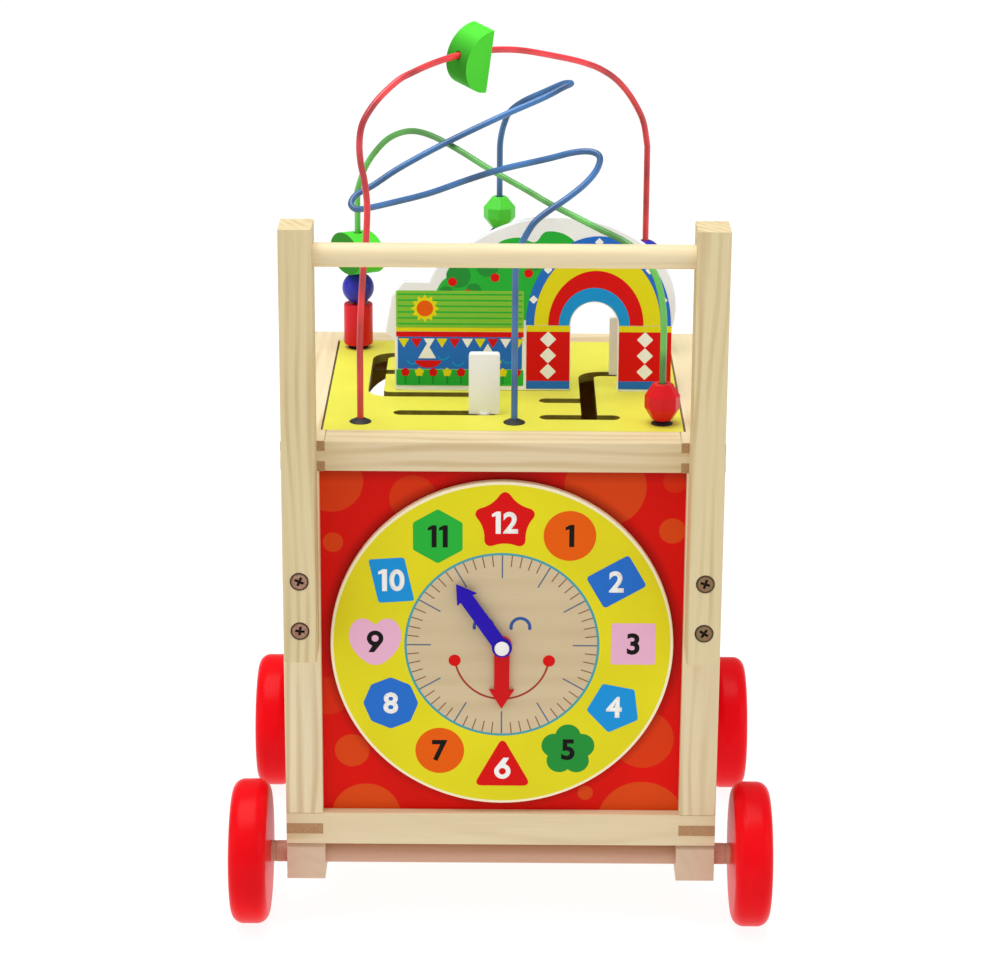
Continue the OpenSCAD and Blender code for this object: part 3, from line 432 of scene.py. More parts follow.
# Light table: a sheet of opal acrylic, sanded matt and lit evenly from below
def opal_acrylic(tree):
    shade = paint("floor_pale")
    mottled(tree, shade, toned(shade, 0.97), 300, 1.0, None, Roughness=0.9, Specular_IOR_Level=0.0,
            Emission_Color=(1.0, 1.0, 1.0, 1.0), Emission_Strength=0.9)


# ---------- meshes ----------
def middle(node):
    low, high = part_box(node)
    return (low + high) / 2


def board_top():
    """The height of the top board's upper face."""
    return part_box("top_board")[1].z


def measures(node, way, x=None):
    """The middle of a node's lower end along axis number way, its radius across that axis and its length.

    With x, the middle is moved to that x."""
    low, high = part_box(node)
    foot = (low + high) / 2
    foot[way] = low[way]
    if x is not None:
        foot.x = x
    across = 0 if way == 2 else 2
    return foot, (high[across] - low[across]) / 2, high[way] - low[way]


def mesh_of(name, bm):
    """A bmesh as a mesh; the bmesh is used up."""
    mesh = bpy.data.meshes.new(name)
    bm.to_mesh(mesh)
    bm.free()
    return mesh


def placed(name, data):
    """A new object of the scene with this data."""
    made = bpy.data.objects.new(name, data)
    bpy.context.scene.collection.objects.link(made)
    return made


def piece(name, bm, material, node=None, body="frame", smooth=None, weighted=False):
    """Turns a bmesh into a named piece that rides on a body and may stand for a CAD node."""
    mesh = mesh_of(name, bm)
    mesh.materials.append(material)
    if smooth is not None:
        mesh.shade_smooth()
        mesh.set_sharp_from_angle(angle=math.radians(smooth))
    made = placed(name, mesh)
    if weighted:
        flat = made.modifiers.new("flat_faces", "WEIGHTED_NORMAL")
        flat.keep_sharp = True
        flat.weight = 80
    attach(made, body)
    if node:
        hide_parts(node)


def dress(node, material):
    """Gives a CAD node its finish."""
    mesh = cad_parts[node].data
    mesh.materials.clear()
    mesh.materials.append(material)


def merged_copy(node):
    bm = bmesh.new()
    bm.from_mesh(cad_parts[node].data)
    bmesh.ops.remove_doubles(bm, verts=bm.verts, dist=WELD)
    bmesh.ops.dissolve_limit(bm, angle_limit=math.radians(0.6), verts=bm.verts, edges=bm.edges)
    return bm


def pour(part, bm):
    """Moves all of one bmesh into another."""
    mesh = mesh_of("part", part)
    bm.from_mesh(mesh)
    bpy.data.meshes.remove(mesh)


def drawn(data):
    """The mesh of a curve or of a text, whose data is used up."""
    holder = placed("drawn", data)
    mesh = bpy.data.meshes.new_from_object(holder)
    bm = bmesh.new()
    bm.from_mesh(mesh)
    bpy.data.objects.remove(holder)
    bpy.data.curves.remove(data)
    bpy.data.meshes.remove(mesh)
    bmesh.ops.remove_doubles(bm, verts=bm.verts, dist=WELD)
    return bm


def bevel(bm, edges, width, segments=3):
    bmesh.ops.bevel(bm, geom=list(edges), offset=width, offset_type="OFFSET", affect="EDGES",
                    segments=segments, profile=0.5, material=-1, clamp_overlap=True)


def sharp_edges(bm, least=40):
    return [e for e in bm.edges if len(e.link_faces) == 2 and e.calc_face_angle(0) > math.radians(least)]


def eased_board(node, grain, round_by, ease_by, tone="pine"):
    """A board cut from its CAD node, with rounded long edges and barely eased ends."""
    low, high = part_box(node)
    tolerance = 0.02 * MM
    bm = merged_copy(node)

    def outside(face):
        at = face.calc_center_median()
        return any(abs(face.normal[i]) > 0.99
                   and min(abs(at[i] - low[i]), abs(at[i] - high[i])) < tolerance for i in range(3))

    def along_grain(edge):
        way = (edge.verts[1].co - edge.verts[0].co).normalized()
        return abs(way["XYZ".index(grain)]) > 0.99

    bevel(bm, [e for e in sharp_edges(bm, 60) if along_grain(e) and all(map(outside, e.link_faces))],
          round_by, 4)
    bevel(bm, [e for e in sharp_edges(bm, 60) if e.is_convex and any(map(outside, e.link_faces))],
          ease_by, 2)
    piece(f"{node}_pine", bm, pine_along(grain, tone), node, smooth=35, weighted=True)


def turned(profile, steps, centre, axis, ring=False):
    """A turned body: the profile is (radius, distance along the axis) and is closed when it is a ring."""
    bm = bmesh.new()
    side = axis.orthogonal().normalized()
    verts = [bm.verts.new(centre + side * r + axis * h) for r, h in profile]
    pairs = list(zip(verts, verts[1:])) + ([(verts[-1], verts[0])] if ring else [])
    edges = [bm.edges.new(pair) for pair in pairs]
    bmesh.ops.spin(bm, geom=verts + edges, cent=centre, axis=axis, angle=TURN, steps=steps, use_merge=True)
    bmesh.ops.remove_doubles(bm, verts=bm.verts, dist=WELD)
    bmesh.ops.recalc_face_normals(bm, faces=bm.faces)
    return bm


def circle_point(radius, degrees):
    return radius * math.cos(math.radians(degrees)), radius * math.sin(math.radians(degrees))


def arc(across, along, radius, start, end, steps=8):
    points = (circle_point(radius, start + (end - start) * i / steps) for i in range(steps + 1))
    return [(across + x, along + y) for x, y in points]


def rounded_ring(inner, outer, tall, ease):
    """Section of a ring with rounded outer edges."""
    return ([(inner + ease / 2, 0.0), (inner, ease / 2), (inner, tall - ease / 2), (inner + ease / 2, tall)]
            + arc(outer - ease, tall - ease, ease, 90, 0, 5) + arc(outer - ease, ease, ease, 0, -90, 5))


def smooth_path(points, steps=7):
    """A smooth run through all the points, evenly split between each two."""
    path = []
    for i in range(len(points) - 1):
        a, b, c, d = (points[max(0, min(len(points) - 1, k))] for k in (i - 1, i, i + 1, i + 2))
        for k in range(steps):
            t = k / steps
            path.append(0.5 * (2 * b + (c - a) * t + (2 * a - 5 * b + 4 * c - d) * t ** 2
                               + (3 * b - a - 3 * c + d) * t ** 3))
    return path + [points[-1]]


# ---------- flat shapes for the prints, in millimetres, each made at the origin ----------
def spun(degrees):
    return Matrix.Rotation(math.radians(degrees), 3, "Z")


def round_corners(bm, corners, rounding):
    bmesh.ops.bevel(bm, geom=corners, offset=rounding * MM, affect="VERTICES", segments=5, profile=0.5,
                    material=-1)


def blob(segments, reach):
    """A shape whose edge is at reach(angle) from its middle."""
    def make(bm):
        made = bmesh.ops.create_circle(bm, cap_ends=True, segments=segments, radius=1.0)
        for v in made["verts"]:
            v.co *= reach(math.atan2(v.co.y, v.co.x))
    return make


def disc(radius):
    return blob(48, lambda angle: radius * MM)


def petals(count, reach, radius):
    """A flower of round petals, the first one up."""
    def edge(angle):
        off = (angle - math.pi / 2 + math.pi / count) % (TURN / count) - math.pi / count
        return (reach * math.cos(off) + math.sqrt(radius ** 2 - (reach * math.sin(off)) ** 2)) * MM
    return blob(100, edge)


def polygon(sides, radius, point_at=90, rounding=1.5, waist=1.0, tall=1.0):
    """A rounded polygon, or a star when its waist is below 1."""
    def make(bm):
        count = sides if waist == 1.0 else 2 * sides
        made = bmesh.ops.create_circle(bm, cap_ends=True, segments=count, radius=radius * MM)
        order = sorted(made["verts"], key=lambda v: math.atan2(v.co.y, v.co.x) % TURN)
        if waist != 1.0:
            bmesh.ops.scale(bm, verts=order[1::2], vec=(waist, waist, 1.0))
        first = math.degrees(math.atan2(order[0].co.y, order[0].co.x))
        bmesh.ops.rotate(bm, verts=order, cent=(0, 0, 0), matrix=spun(point_at - first))
        bmesh.ops.scale(bm, verts=order, vec=(1.0, tall, 1.0))
        round_corners(bm, order, rounding)
    return make


def slab(width, height, rounding=0.0, lean=0.0, turn=0.0):
    """A rectangle, leaning or turned, with rounded corners if asked."""
    def make(bm):
        made = bmesh.ops.create_grid(bm, x_segments=1, y_segments=1, size=0.5)
        for v in made["verts"]:
            v.co = Vector((v.co.x * width * MM - v.co.y * lean * MM, v.co.y * height * MM, 0.0))
        if rounding:
            round_corners(bm, made["verts"], rounding)
        bmesh.ops.rotate(bm, verts=bm.verts, cent=(0, 0, 0), matrix=spun(turn))
    return make


def band(inner, outer, start, end, steps=40):
    """A curved band between two ellipses, each given by its half width and half height."""
    def make(bm):
        verts = [bm.verts.new((*circle_point(reach, start), 0)) for reach in (1.0, 2.0)]
        edge = bm.edges.new(verts)
        bmesh.ops.spin(bm, geom=verts + [edge], cent=(0, 0, 0), axis=UP, angle=math.radians(end - start),
                       steps=steps)
        for v in bm.verts:
            near = v.co.length < 1.5
            half = inner if near else outer
            v.co = Vector((v.co.x * half[0], v.co.y * half[1], 0.0)) * MM * (1.0 if near else 0.5)
    return make


def circle_band(radius, width, start, end, steps=40):
    return band((radius - width / 2,) * 2, (radius + width / 2,) * 2, start, end, steps)


def outline(points, scale=1.0, smooth=True):
    """A shape with the given corners, or with a smooth edge through them."""
    def make(bm):
        ring = [Vector((x, y, 0.0)) * scale * MM for x, y in points]
        if smooth:
            ring = smooth_path(ring[-1:] + ring + ring[:2], 6)[6:-7]
        bm.faces.new([bm.verts.new(at) for at in ring])
    return make


HEART_HALF = ((0.0, 11.6), (3.6, 14.2), (8.4, 15.6), (13.2, 13.4), (16.2, 8.2), (16.7, 2.2), (14.8, -4.2),
              (10.9, -9.8), (6.2, -14.0), (2.2, -15.9))


def heart(scale=1.0):
    """A plump heart, 33 mm wide before scaling."""
    return outline(HEART_HALF + tuple((-x, z) for x, z in HEART_HALF[:0:-1]), scale)


FRONT_PRINT = Matrix.Rotation(math.pi / 2, 4, "X")
BACK_PRINT = Matrix.Scale(-1.0, 4, AWAY) @ FRONT_PRINT


class Print:
    """The flat shapes of one colour on one face of a board."""

    def __init__(self, plane, face_y, origin):
        self.bm = bmesh.new()
        self.plane = Matrix.Translation((0.0, face_y, 0.0)) @ plane
        self.origin = origin

    def stamp(self, shape, at=(0.0, 0.0), layer=1):
        """Prints a shape: at is in millimetres from the origin, layer counts the inks from the board up."""
        s = sizes()
        flat = bmesh.new()
        shape(flat)
        self.take(flat, at, s.ink_sink + layer * s.ink_level, -s.ink_sink)

    def write(self, number, at, layer=2):
        """Prints a number, digit by digit."""
        s = sizes()
        glyphs = [self.glyph(digit) for digit in number]
        widths = [max(v.co.x for v in g.verts) - min(v.co.x for v in g.verts) for g in glyphs]
        left = -(sum(widths) + s.digit_gap * (len(glyphs) - 1)) / 2
        for flat, width in zip(glyphs, widths):
            x, y = ((min(v.co[i] for v in flat.verts) + max(v.co[i] for v in flat.verts)) / 2 for i in (0, 1))
            bmesh.ops.translate(flat, verts=flat.verts, vec=(left + width / 2 - x, -y, 0.0))
            left += width + s.digit_gap
            self.take(flat, at, layer * s.ink_level, 0.0)

    def glyph(self, digit):
        """The flat shape of one digit."""
        s = sizes()
        if digit not in "169":
            text = bpy.data.curves.new("digit", "FONT")
            text.body = digit
            text.size = s.digit_height / 0.77
            text.offset = s.digit_weight
            return drawn(text)
        flat = bmesh.new()
        half = s.digit_height / 2 / MM
        if digit == "1":
            bar = s.one_width / MM
            outline(((0, -half), (bar, -half), (bar, half), (0.5, half), (-2.4, half - 1.7),
                     (-2.4, half - 3.6), (0, half - 2.9)), smooth=False)(flat)
            return flat
        bowl, hole = 5.3, 2.3
        top = 2 * half - bowl
        rings = []
        for edge in (arc(0, 0, bowl, 152, 430, 40) + [(4.3, top), (0.7, top)], arc(0, 0, hole, 0, 350, 35)):
            verts = [flat.verts.new((x * MM, z * MM, 0.0)) for x, z in edge]
            rings += [flat.edges.new(pair) for pair in zip(verts, verts[1:] + verts[:1])]
        bmesh.ops.triangle_fill(flat, use_beauty=True, use_dissolve=False, edges=rings, normal=(0, 0, 1))
        if digit == "9":
            bmesh.ops.rotate(flat, verts=flat.verts, cent=(0, 0, 0), matrix=spun(180))
        return flat

    def take(self, flat, at, thick, lift):
        """Makes a flat shape as thick as its ink and lays it on the board."""
        raised = bmesh.ops.extrude_face_region(flat, geom=flat.faces[:])["geom"]
        bmesh.ops.translate(flat, verts=[v for v in raised if isinstance(v, bmesh.types.BMVert)],
                            vec=(0.0, 0.0, thick))
        place = Matrix.Translation((self.origin.x + at[0] * MM, self.origin.z + at[1] * MM, lift))
        bmesh.ops.transform(flat, matrix=self.plane @ place, verts=flat.verts)
        bmesh.ops.recalc_face_normals(flat, faces=flat.faces)
        pour(flat, self.bm)


def print_set(plane, face_y, origin, names):
    return {name: Print(plane, face_y, origin) for name in names.split()}


def lay_prints(prints, prefix, body="frame"):
    for name, sheet in prints.items():
        piece(f"{prefix}_{name}", sheet.bm, finish_of(f"print_{name}_ink", ink, f"print_{name}"),
              body=body)


# ---------- operators ----------
class WALKER_OT_frame(bpy.types.Operator):
    """Rails, corner posts and axle blocks with eased edges"""
    bl_idname = "walker.frame"
    bl_label = "Frame"

    def execute(self, context):
        s = sizes()
        for row in ("bottom", "top"):
            for side, grain in (("front", "X"), ("rear", "X"), ("left", "Y"), ("right", "Y")):
                eased_board(f"{row}_rail_{side}", grain, s.rail_round, s.joint_ease)
        for corner in ("front_left", "front_right", "rear_left", "rear_right"):
            eased_board(f"corner_post_{corner}", "Z", s.post_round, s.joint_ease)
            node = f"axle_block_{corner}"
            bm = merged_copy(node)
            bevel(bm, sharp_edges(bm), s.block_round)
            piece(f"{node}_beech", bm, finish_of("block_beech", beech, "Y", "block"), node,
                  smooth=35, weighted=True)
        return {"FINISHED"}


# Circles of the printed panels: across, height above the panel's middle, radius, strength
PANEL_CIRCLES = (
    (-109, 108, 20.5, 0.6), (-57, 97, 15, 0.45), (-108, 67, 6.5, 0.7), (65, 105, 26, 0.75),
    (108, 76, 8.4, 0.85), (109, 109, 7.5, 0.35), (92, -67, 20, 0.55), (92, -126, 29, 0.8),
    (55, -105, 5, 0.8), (-97, -76, 11.2, 0.75), (-88, -122, 22.6, 0.85), (-112, -38, 13, 0.3))
SIDE_CIRCLES = (
    (-88, 92, 22, 0.6), (-30, 60, 12, 0.75), (28, 96, 17, 0.5), (84, 66, 26, 0.65), (-74, 18, 14, 0.8),
    (-14, 4, 24, 0.45), (48, 14, 9, 0.85), (98, -6, 16, 0.5), (-98, -48, 18, 0.5), (-40, -60, 8, 0.85),
    (8, -58, 15, 0.7), (66, -52, 21, 0.55), (-72, -104, 20, 0.8), (-16, -108, 11, 0.6),
    (36, -110, 25, 0.75), (100, -96, 12, 0.85))


class WALKER_OT_panels(bpy.types.Operator):
    """Printed front and side panels, painted back panel and bare floor panel"""
    bl_idname = "walker.panels"
    bl_label = "Panels"

    def execute(self, context):
        disc_height = middle("clock_disc").z
        height = disc_height / MM
        across = middle("side_panel_left").y / MM
        circles = [(x, height + z, r, k) for x, z, r, k in PANEL_CIRCLES]
        # The front panel's print carries painted shadow round the clock disc and under the top rail
        dress("clock_panel", finish_of(
            "circle_print_front", circle_print, "XZ", circles, UP * disc_height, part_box("clock_disc")[1].x,
            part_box("top_rail_front")[0].z))
        for side, flip in (("left", 1), ("right", -1)):
            circles = [(across + flip * y, height + z, r, k) for y, z, r, k in SIDE_CIRCLES]
            dress(f"side_panel_{side}", finish_of(f"circle_print_{side}", circle_print, "YZ", circles))
        dress("back_panel", finish_of("yellow_silk_back", edged_silk, "board_yellow", "Y"))
        dress("floor_panel", finish_of("birch_plywood_floor", plywood, "Y"))
        return {"FINISHED"}


class WALKER_OT_wheels(bpy.types.Operator):
    """Turned and enamelled wheels on beech axles"""
    bl_idname = "walker.wheels"
    bl_label = "Wheels"

    def execute(self, context):
        for end in ("front", "rear"):
            for side, out in (("left", -1), ("right", 1)):
                self.wheel(end, side, out)
            self.axle(end)
        return {"FINISHED"}

    def wheel(self, end, side, out):
        """A wheel with a rounded tread and domed faces, the inner one with a socket for the axle."""
        node = f"wheel_{end}_{side}"
        inner_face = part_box(node)[0 if out > 0 else 1].x
        centre, radius, width = measures(node, 0, inner_face)
        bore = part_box(f"{end}_axle")[1].z - centre.z
        flat = radius - WHEEL_ROUND
        dome_radius = (flat ** 2 + WHEEL_DOME ** 2) / (2 * WHEEL_DOME)
        slope, hub = (math.degrees(math.asin(reach / dome_radius)) for reach in (flat, bore))
        section = [(0.0, AXLE_SOCKET), (bore, AXLE_SOCKET)]
        section += arc(0, dome_radius, dome_radius, -90 + hub, -90 + slope)
        section += arc(flat, WHEEL_DOME + WHEEL_ROUND, WHEEL_ROUND, -90 + slope, 0, 10)
        section += arc(flat, width - WHEEL_DOME - WHEEL_ROUND, WHEEL_ROUND, 0, 90 - slope, 10)
        section += arc(0, width - dome_radius, dome_radius, 90 - slope, 90, 10)
        section[-1] = (0.0, width)
        piece(f"{node}_turned", turned(section, 96, centre, RIGHT * out),
              finish_of("red_enamel", enamel, "wheel_red", 0.06), node, f"{end}_wheels", 40)

    def axle(self, end):
        """A dowel with eased ends and a fine groove beside each wheel."""
        node = f"{end}_axle"
        centre, radius, _ = measures(node, 0, 0.0)
        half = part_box(node)[1].x
        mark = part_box(f"wheel_{end}_right")[0].x - 3.2 * MM
        groove, ease = 0.45 * MM, 0.8 * MM
        rise = [(0.0, half), (radius - ease, half), (radius, half - ease), (radius, mark + groove),
                (radius - groove, mark), (radius, mark - groove)]
        section = rise + [(r, -h) for r, h in reversed(rise)]
        piece(f"{node}_dowel", turned(section, 64, centre, RIGHT),
              finish_of("dowel_beech", beech, "X", "dowel"), node, f"{end}_wheels", 35)


class WALKER_OT_handle(bpy.types.Operator):
    """Handle posts, the round bar between them and four countersunk screws"""
    bl_idname = "walker.handle"
    bl_label = "Handle"

    def execute(self, context):
        s = sizes()
        for side in ("left", "right"):
            # The handle posts take the darker pine, painted shade
            eased_board(f"handle_post_{side}", "Z", s.rail_round, s.post_round, "handle")
        centre, radius, _ = measures("handle_bar", 0, 0.0)
        half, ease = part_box("handle_bar")[1].x, 1 * MM
        section = [(0.0, half), (radius - ease, half), (radius, half - ease), (radius, 0.0),
                   (radius, ease - half), (radius - ease, -half), (0.0, -half)]
        piece("handle_bar_dowel", turned(section, 64, centre, RIGHT),
              finish_of("bar_pine", pine, "X", PITH["X"], "pine", 0.3), "handle_bar", smooth=35)
        low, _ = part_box("handle_post_right")
        across = middle("handle_post_right").x
        heads = [Vector((x, low.y, low.z + SCREW_LOW + SCREW_PITCH * row))
                 for x in (-across, across) for row in (0, 1)]
        bm = bmesh.new()
        for head, twist in zip(heads, (8, 24, 33, 17)):
            pour(self.screw(head, twist), bm)
        piece("handle_screws_bronze", bm, finish_of("bronzed_steel", bronzed_steel, heads),
              "handle_screws", smooth=30)
        return {"FINISHED"}

    def screw(self, at, twist):
        """One countersunk cross-head screw whose head looks at the user."""
        rim, sunk, cone_end, point = 0.6 * MM, 0.35 * MM, 4.4 * MM, 3 * MM
        bm = turned([(HEAD_RADIUS - rim, sunk), (HEAD_RADIUS, sunk + rim), (HEAD_RADIUS, sunk + 2 * rim),
                     (SHANK_RADIUS, cone_end), (SHANK_RADIUS, SCREW_LENGTH - point), (0.0, SCREW_LENGTH)],
                    40, Vector((0, 0, 0)), AWAY)
        open_rim = [e for e in bm.edges if e.is_boundary]
        half, arm, cross_depth, taper = 0.85 * MM, 3.3 * MM, 1.6 * MM, 0.55
        cross = []
        for quarter in range(4):
            spin = Matrix.Rotation(math.radians(-90 * quarter + twist), 4, "Y")
            cross += [bm.verts.new(spin @ Vector((x, sunk, z)))
                      for x, z in ((arm, -half), (arm, half), (half, half))]
        ring = [bm.edges.new(pair) for pair in zip(cross, cross[1:] + cross[:1])]
        bmesh.ops.triangle_fill(bm, use_beauty=True, use_dissolve=False, edges=open_rim + ring)
        sunken = bmesh.ops.extrude_edge_only(bm, edges=ring)["geom"]
        floor = [v for v in sunken if isinstance(v, bmesh.types.BMVert)]
        bmesh.ops.scale(bm, verts=floor, vec=(taper, 1.0, taper))
        bmesh.ops.translate(bm, verts=floor, vec=(0.0, cross_depth, 0.0))
        bmesh.ops.edgeloop_fill(bm, edges=[e for e in sunken if isinstance(e, bmesh.types.BMEdge)
                                           and all(v in floor for v in e.verts)])
        bmesh.ops.recalc_face_normals(bm, faces=bm.faces)
        bmesh.ops.translate(bm, verts=bm.verts, vec=at)
        return bm


class WALKER_OT_clock(bpy.types.Operator):
    """Clock disc with its dial, minute marks and smile"""
    bl_idname = "walker.clock"
    bl_label = "Clock"

    def execute(self, context):
        centre, radius, thick = measures("clock_disc", 1, 0.0)
        bm = turned(rounded_ring(PIN_BORE, radius, thick, 0.8 * MM), 128, centre, AWAY, ring=True)
        piece("clock_disc_printed", bm, finish_of("birch_clock_face", clock_face, centre, radius),
              "clock_disc", smooth=30)
        inks = print_set(FRONT_PRINT, centre.y, centre, "slate brown navy rust red")
        edge = sizes().dial_radius / MM
        for minute in range(60):
            name, width, reach = ("brown", 0.7, 7.5) if minute % 5 else ("slate", 0.85, 15.5)
            inks[name].stamp(slab(width, reach, turn=-6 * minute),
                             circle_point(edge - reach / 2, 90 - 6 * minute))
        eye_across, eye_height, eye_radius = 11.8, 12.4, 6
        for x in (-eye_across, eye_across):
            inks["navy"].stamp(circle_band(eye_radius, 2.1, -8, 188), (x, eye_height))
            for corner_x, corner_z in (circle_point(eye_radius, end) for end in (-8, 188)):
                inks["navy"].stamp(disc(1.05), (x + corner_x, eye_height + corner_z), 2)
        smile = 30.3
        inks["rust"].stamp(circle_band(smile, 1.3, -172, -8), (0, -6.7))
        for x in (-smile, smile):
            inks["red"].stamp(disc(3.9), (x, -10.6), 2)
        lay_prints(inks, "dial_print")
        return {"FINISHED"}


# The badges: number, colour of the badge, colour of the number, shape, middle of the number, and how
# much higher the middle of the badge is
def badges():
    return (
        ("12", "red", "white", polygon(5, 22.2, 90, 5.6, 0.62), (1.5, 82.9), 0.8),
        ("1", "orange", "black", disc(sizes().badge_radius / MM), (42.7, 74.3), 0.0),
        ("2", "blue", "white", slab(31, 24, 2.2, turn=30), (72.7, 43.6), 0.0),
        ("3", "pink", "black", slab(28.4, 28.2, 1.5), (84.2, 1.4), 0.0),
        ("4", "sky", "white", polygon(5, 17.9, -29, 1.4), (72.6, -42.3), 0.0),
        ("5", "leaf", "black", petals(5, 9.4, 8.2), (43.2, -72.1), 0.0),
        ("6", "red", "white", polygon(3, 21.7, 90, 5.2, tall=1.05), (0.8, -85.4), -0.8),
        ("7", "orange", "black", disc(15.8), (-39.9, -73.2), 0.0),
        ("8", "blue", "white", polygon(8, 17.8, 90, 1.4), (-71.5, -40.3), 0.0),
        ("9", "pink", "black", heart(), (-81.3, 2.1), 0.0),
        ("10", "sky", "white", slab(23, 29.6, 1.8, lean=4.4, turn=4), (-70.7, 43.8), 0.0),
        ("11", "green", "black", polygon(6, 18.2, 90, 1.2), (-41.1, 73.5), 0.0))


class WALKER_OT_numbers(bpy.types.Operator):
    """Twelve printed badges with their numbers"""
    bl_idname = "walker.numbers"
    bl_label = "Numbers"

    def execute(self, context):
        centre, _, _ = measures("clock_disc", 1, 0.0)
        inks = print_set(FRONT_PRINT, centre.y, centre, "red orange blue pink sky green leaf white black")
        for number, badge, digits, shape, (x, z), rise in badges():
            inks[badge].stamp(shape, (x, z + rise))
            inks[digits].write(number, (x, z))
        lay_prints(inks, "badge_print")
        return {"FINISHED"}


class WALKER_OT_hands(bpy.types.Operator):
    """Clock hands, the pin that carries them and its nut"""
    bl_idname = "walker.hands"
    bl_label = "Hands"

    def execute(self, context):
        for node, body, name in (("minute_hand", "long_hand", "blue"), ("hour_hand", "short_hand", "red")):
            bm = merged_copy(node)
            bevel(bm, sharp_edges(bm, 60), sizes().hand_ease)
            piece(f"{node}_moulded", bm, finish_of(f"hand_{name}_abs", moulded_plastic, f"hand_{name}"),
                  node, body, 35, True)
        centre, cap, deep = measures("clock_pin", 1, 0.0)
        cap_ease, tip_ease = 0.3 * MM, 0.4 * MM
        section = [(0.0, 0.0), (0.45 * cap, 0.12 * MM), (0.72 * cap, 0.5 * MM), (0.92 * cap, 1.2 * MM),
                   (cap, 2.0 * MM), (cap, PIN_CAP - cap_ease), (cap - cap_ease, PIN_CAP), (PIN_STEM, PIN_CAP),
                   (PIN_STEM, deep - tip_ease), (PIN_STEM - tip_ease, deep), (0.0, deep)]
        piece("clock_pin_moulded", turned(section, 48, centre, AWAY),
              finish_of("white_abs", moulded_plastic, "print_white"), "clock_pin", smooth=50)
        centre, radius, thick = measures("clock_pin_nut", 1, 0.0)
        ring = rounded_ring(PIN_BORE, radius, thick, 0.6 * MM)
        piece("clock_pin_nut_zinc", turned(ring, 48, centre, AWAY, ring=True),
              finish_of("zinc_plate", zinc_plate), "clock_pin_nut", smooth=35)
        return {"FINISHED"}


class WALKER_OT_top_board(bpy.types.Operator):
    """Yellow top board with its cut tracks"""
    bl_idname = "walker.top_board"
    bl_label = "Top board"

    def execute(self, context):
        dress("top_board", finish_of("yellow_silk_board", edged_silk, "board_yellow", "Z"))
        return {"FINISHED"}


TREE_CROWN = (
    (-44, 48), (-46, 62), (-41, 74), (-33, 80), (-30, 89), (-19, 94), (-9, 93), (-3, 101), (9, 104),
    (20, 101), (27, 108), (40, 106), (48, 96), (46, 70), (20, 50), (-20, 46))


def draw_scenery(inks):
    """A meadow with a boat pond beside a striped gateway, in millimetres from the board's foot."""
    def stamp(name, shape, at, layer):
        inks[name].stamp(shape, at, layer)

    # An apple tree behind the meadow
    stamp("green", outline(TREE_CROWN), (0, 0), 1)
    for x, z, r in ((-30, 78, 8), (-11, 85, 7.5), (6, 92, 7), (-20, 68, 5), (-38, 66, 5), (20, 88, 6)):
        stamp("leaf", disc(r), (x, z), 2)
    for at in ((-34, 74), (-20, 88), (-6, 77), (3, 94), (16, 80), (-24, 66)):
        stamp("red", disc(2.9), at, 3)
    # Striped meadow under a sun
    meadow = -29
    stamp("lime", slab(84, 25, 1.0), (meadow, 55.5), 4)
    for row in range(6):
        stamp("green", slab(82, 1.1), (meadow, 45.5 + 4 * row), 5)
    stamp("yellow", polygon(12, 9.5, 90, 0.4, 0.72), (-52, 56), 6)
    stamp("orange", disc(5.4), (-52, 56), 7)
    # A red rope with pennants over the pond
    stamp("yellow", slab(84, 2.6), (meadow, 41.6), 3)
    stamp("red", slab(84, 3.4), (meadow, 38.4), 4)
    stamp("blue", slab(82, 22, 0.8), (meadow, 25.6), 2)
    for i in range(10):
        stamp(("yellow", "red", "white")[i % 3], polygon(3, 4.2, -90, 0.3), (-66 + 8.4 * i, 33.4), 4)
    for x, z in ((-60, 19), (-40, 22), (-30, 18), (3, 20), (-20, 22.5)):
        stamp("sky", circle_band(4.0, 1.1, 200, 340, 12), (x, z + 3), 3)
    for x, hull in ((-50, "red"), (-10, "yellow")):
        stamp(hull, band((0.01, 0.01), (8.5, 5.0), 180, 360, 20), (x, 20.5), 4)
        stamp("white", polygon(3, 6.8, 90, 0.3), (x - 0.6, 25.4), 5)
    # Tulips on the bank
    stamp("green", slab(84, 11, 1.0), (meadow, 8.8), 3)
    for i in range(9):
        x = -65 + 9.2 * i
        stamp("leaf", slab(1.2, 7), (x, 8), 4)
        stamp(("red", "yellow")[i % 2], polygon(5, 3.4, 90, 0.8, 0.72), (x, 12.4), 5)
    # Gateway: bands over the opening, spotted piers below
    spring = 45
    for name, x, inner, outer, layer in (("sky", 59.5, (16.4, 16.4), (23.4, 25.6), 6),
                                         ("red", 60.5, (20.0, 20.0), (31.4, 37.0), 5),
                                         ("yellow", 61.5, (27.0, 31.0), (41.6, 52.0), 4),
                                         ("blue", 62.2, (36.0, 43.0), (47.8, 60.2), 3)):
        stamp(name, band(inner, outer, 0, 180), (x, spring), layer)
    for step in range(7):
        across, up = circle_point(1.0, 18 + 24 * step)
        stamp("white", polygon(4, 2.9, 90, 0.5), (62 + 44.8 * across, spring + 56.2 * up), 5)
    for x, width in ((29.2, 28.6), (93.2, 34.6)):
        stamp("red", slab(width, 42.6), (x, 22.8), 4)
        stamp("blue", slab(width, 5.5), (x, 4.2), 5)
        stamp("yellow", slab(width, 4.0), (x, 42.6), 5)
        for row in range(3):
            stamp("white", polygon(4, 5.4, 90, 0.6), (x, 13.4 + 11 * row), 5)


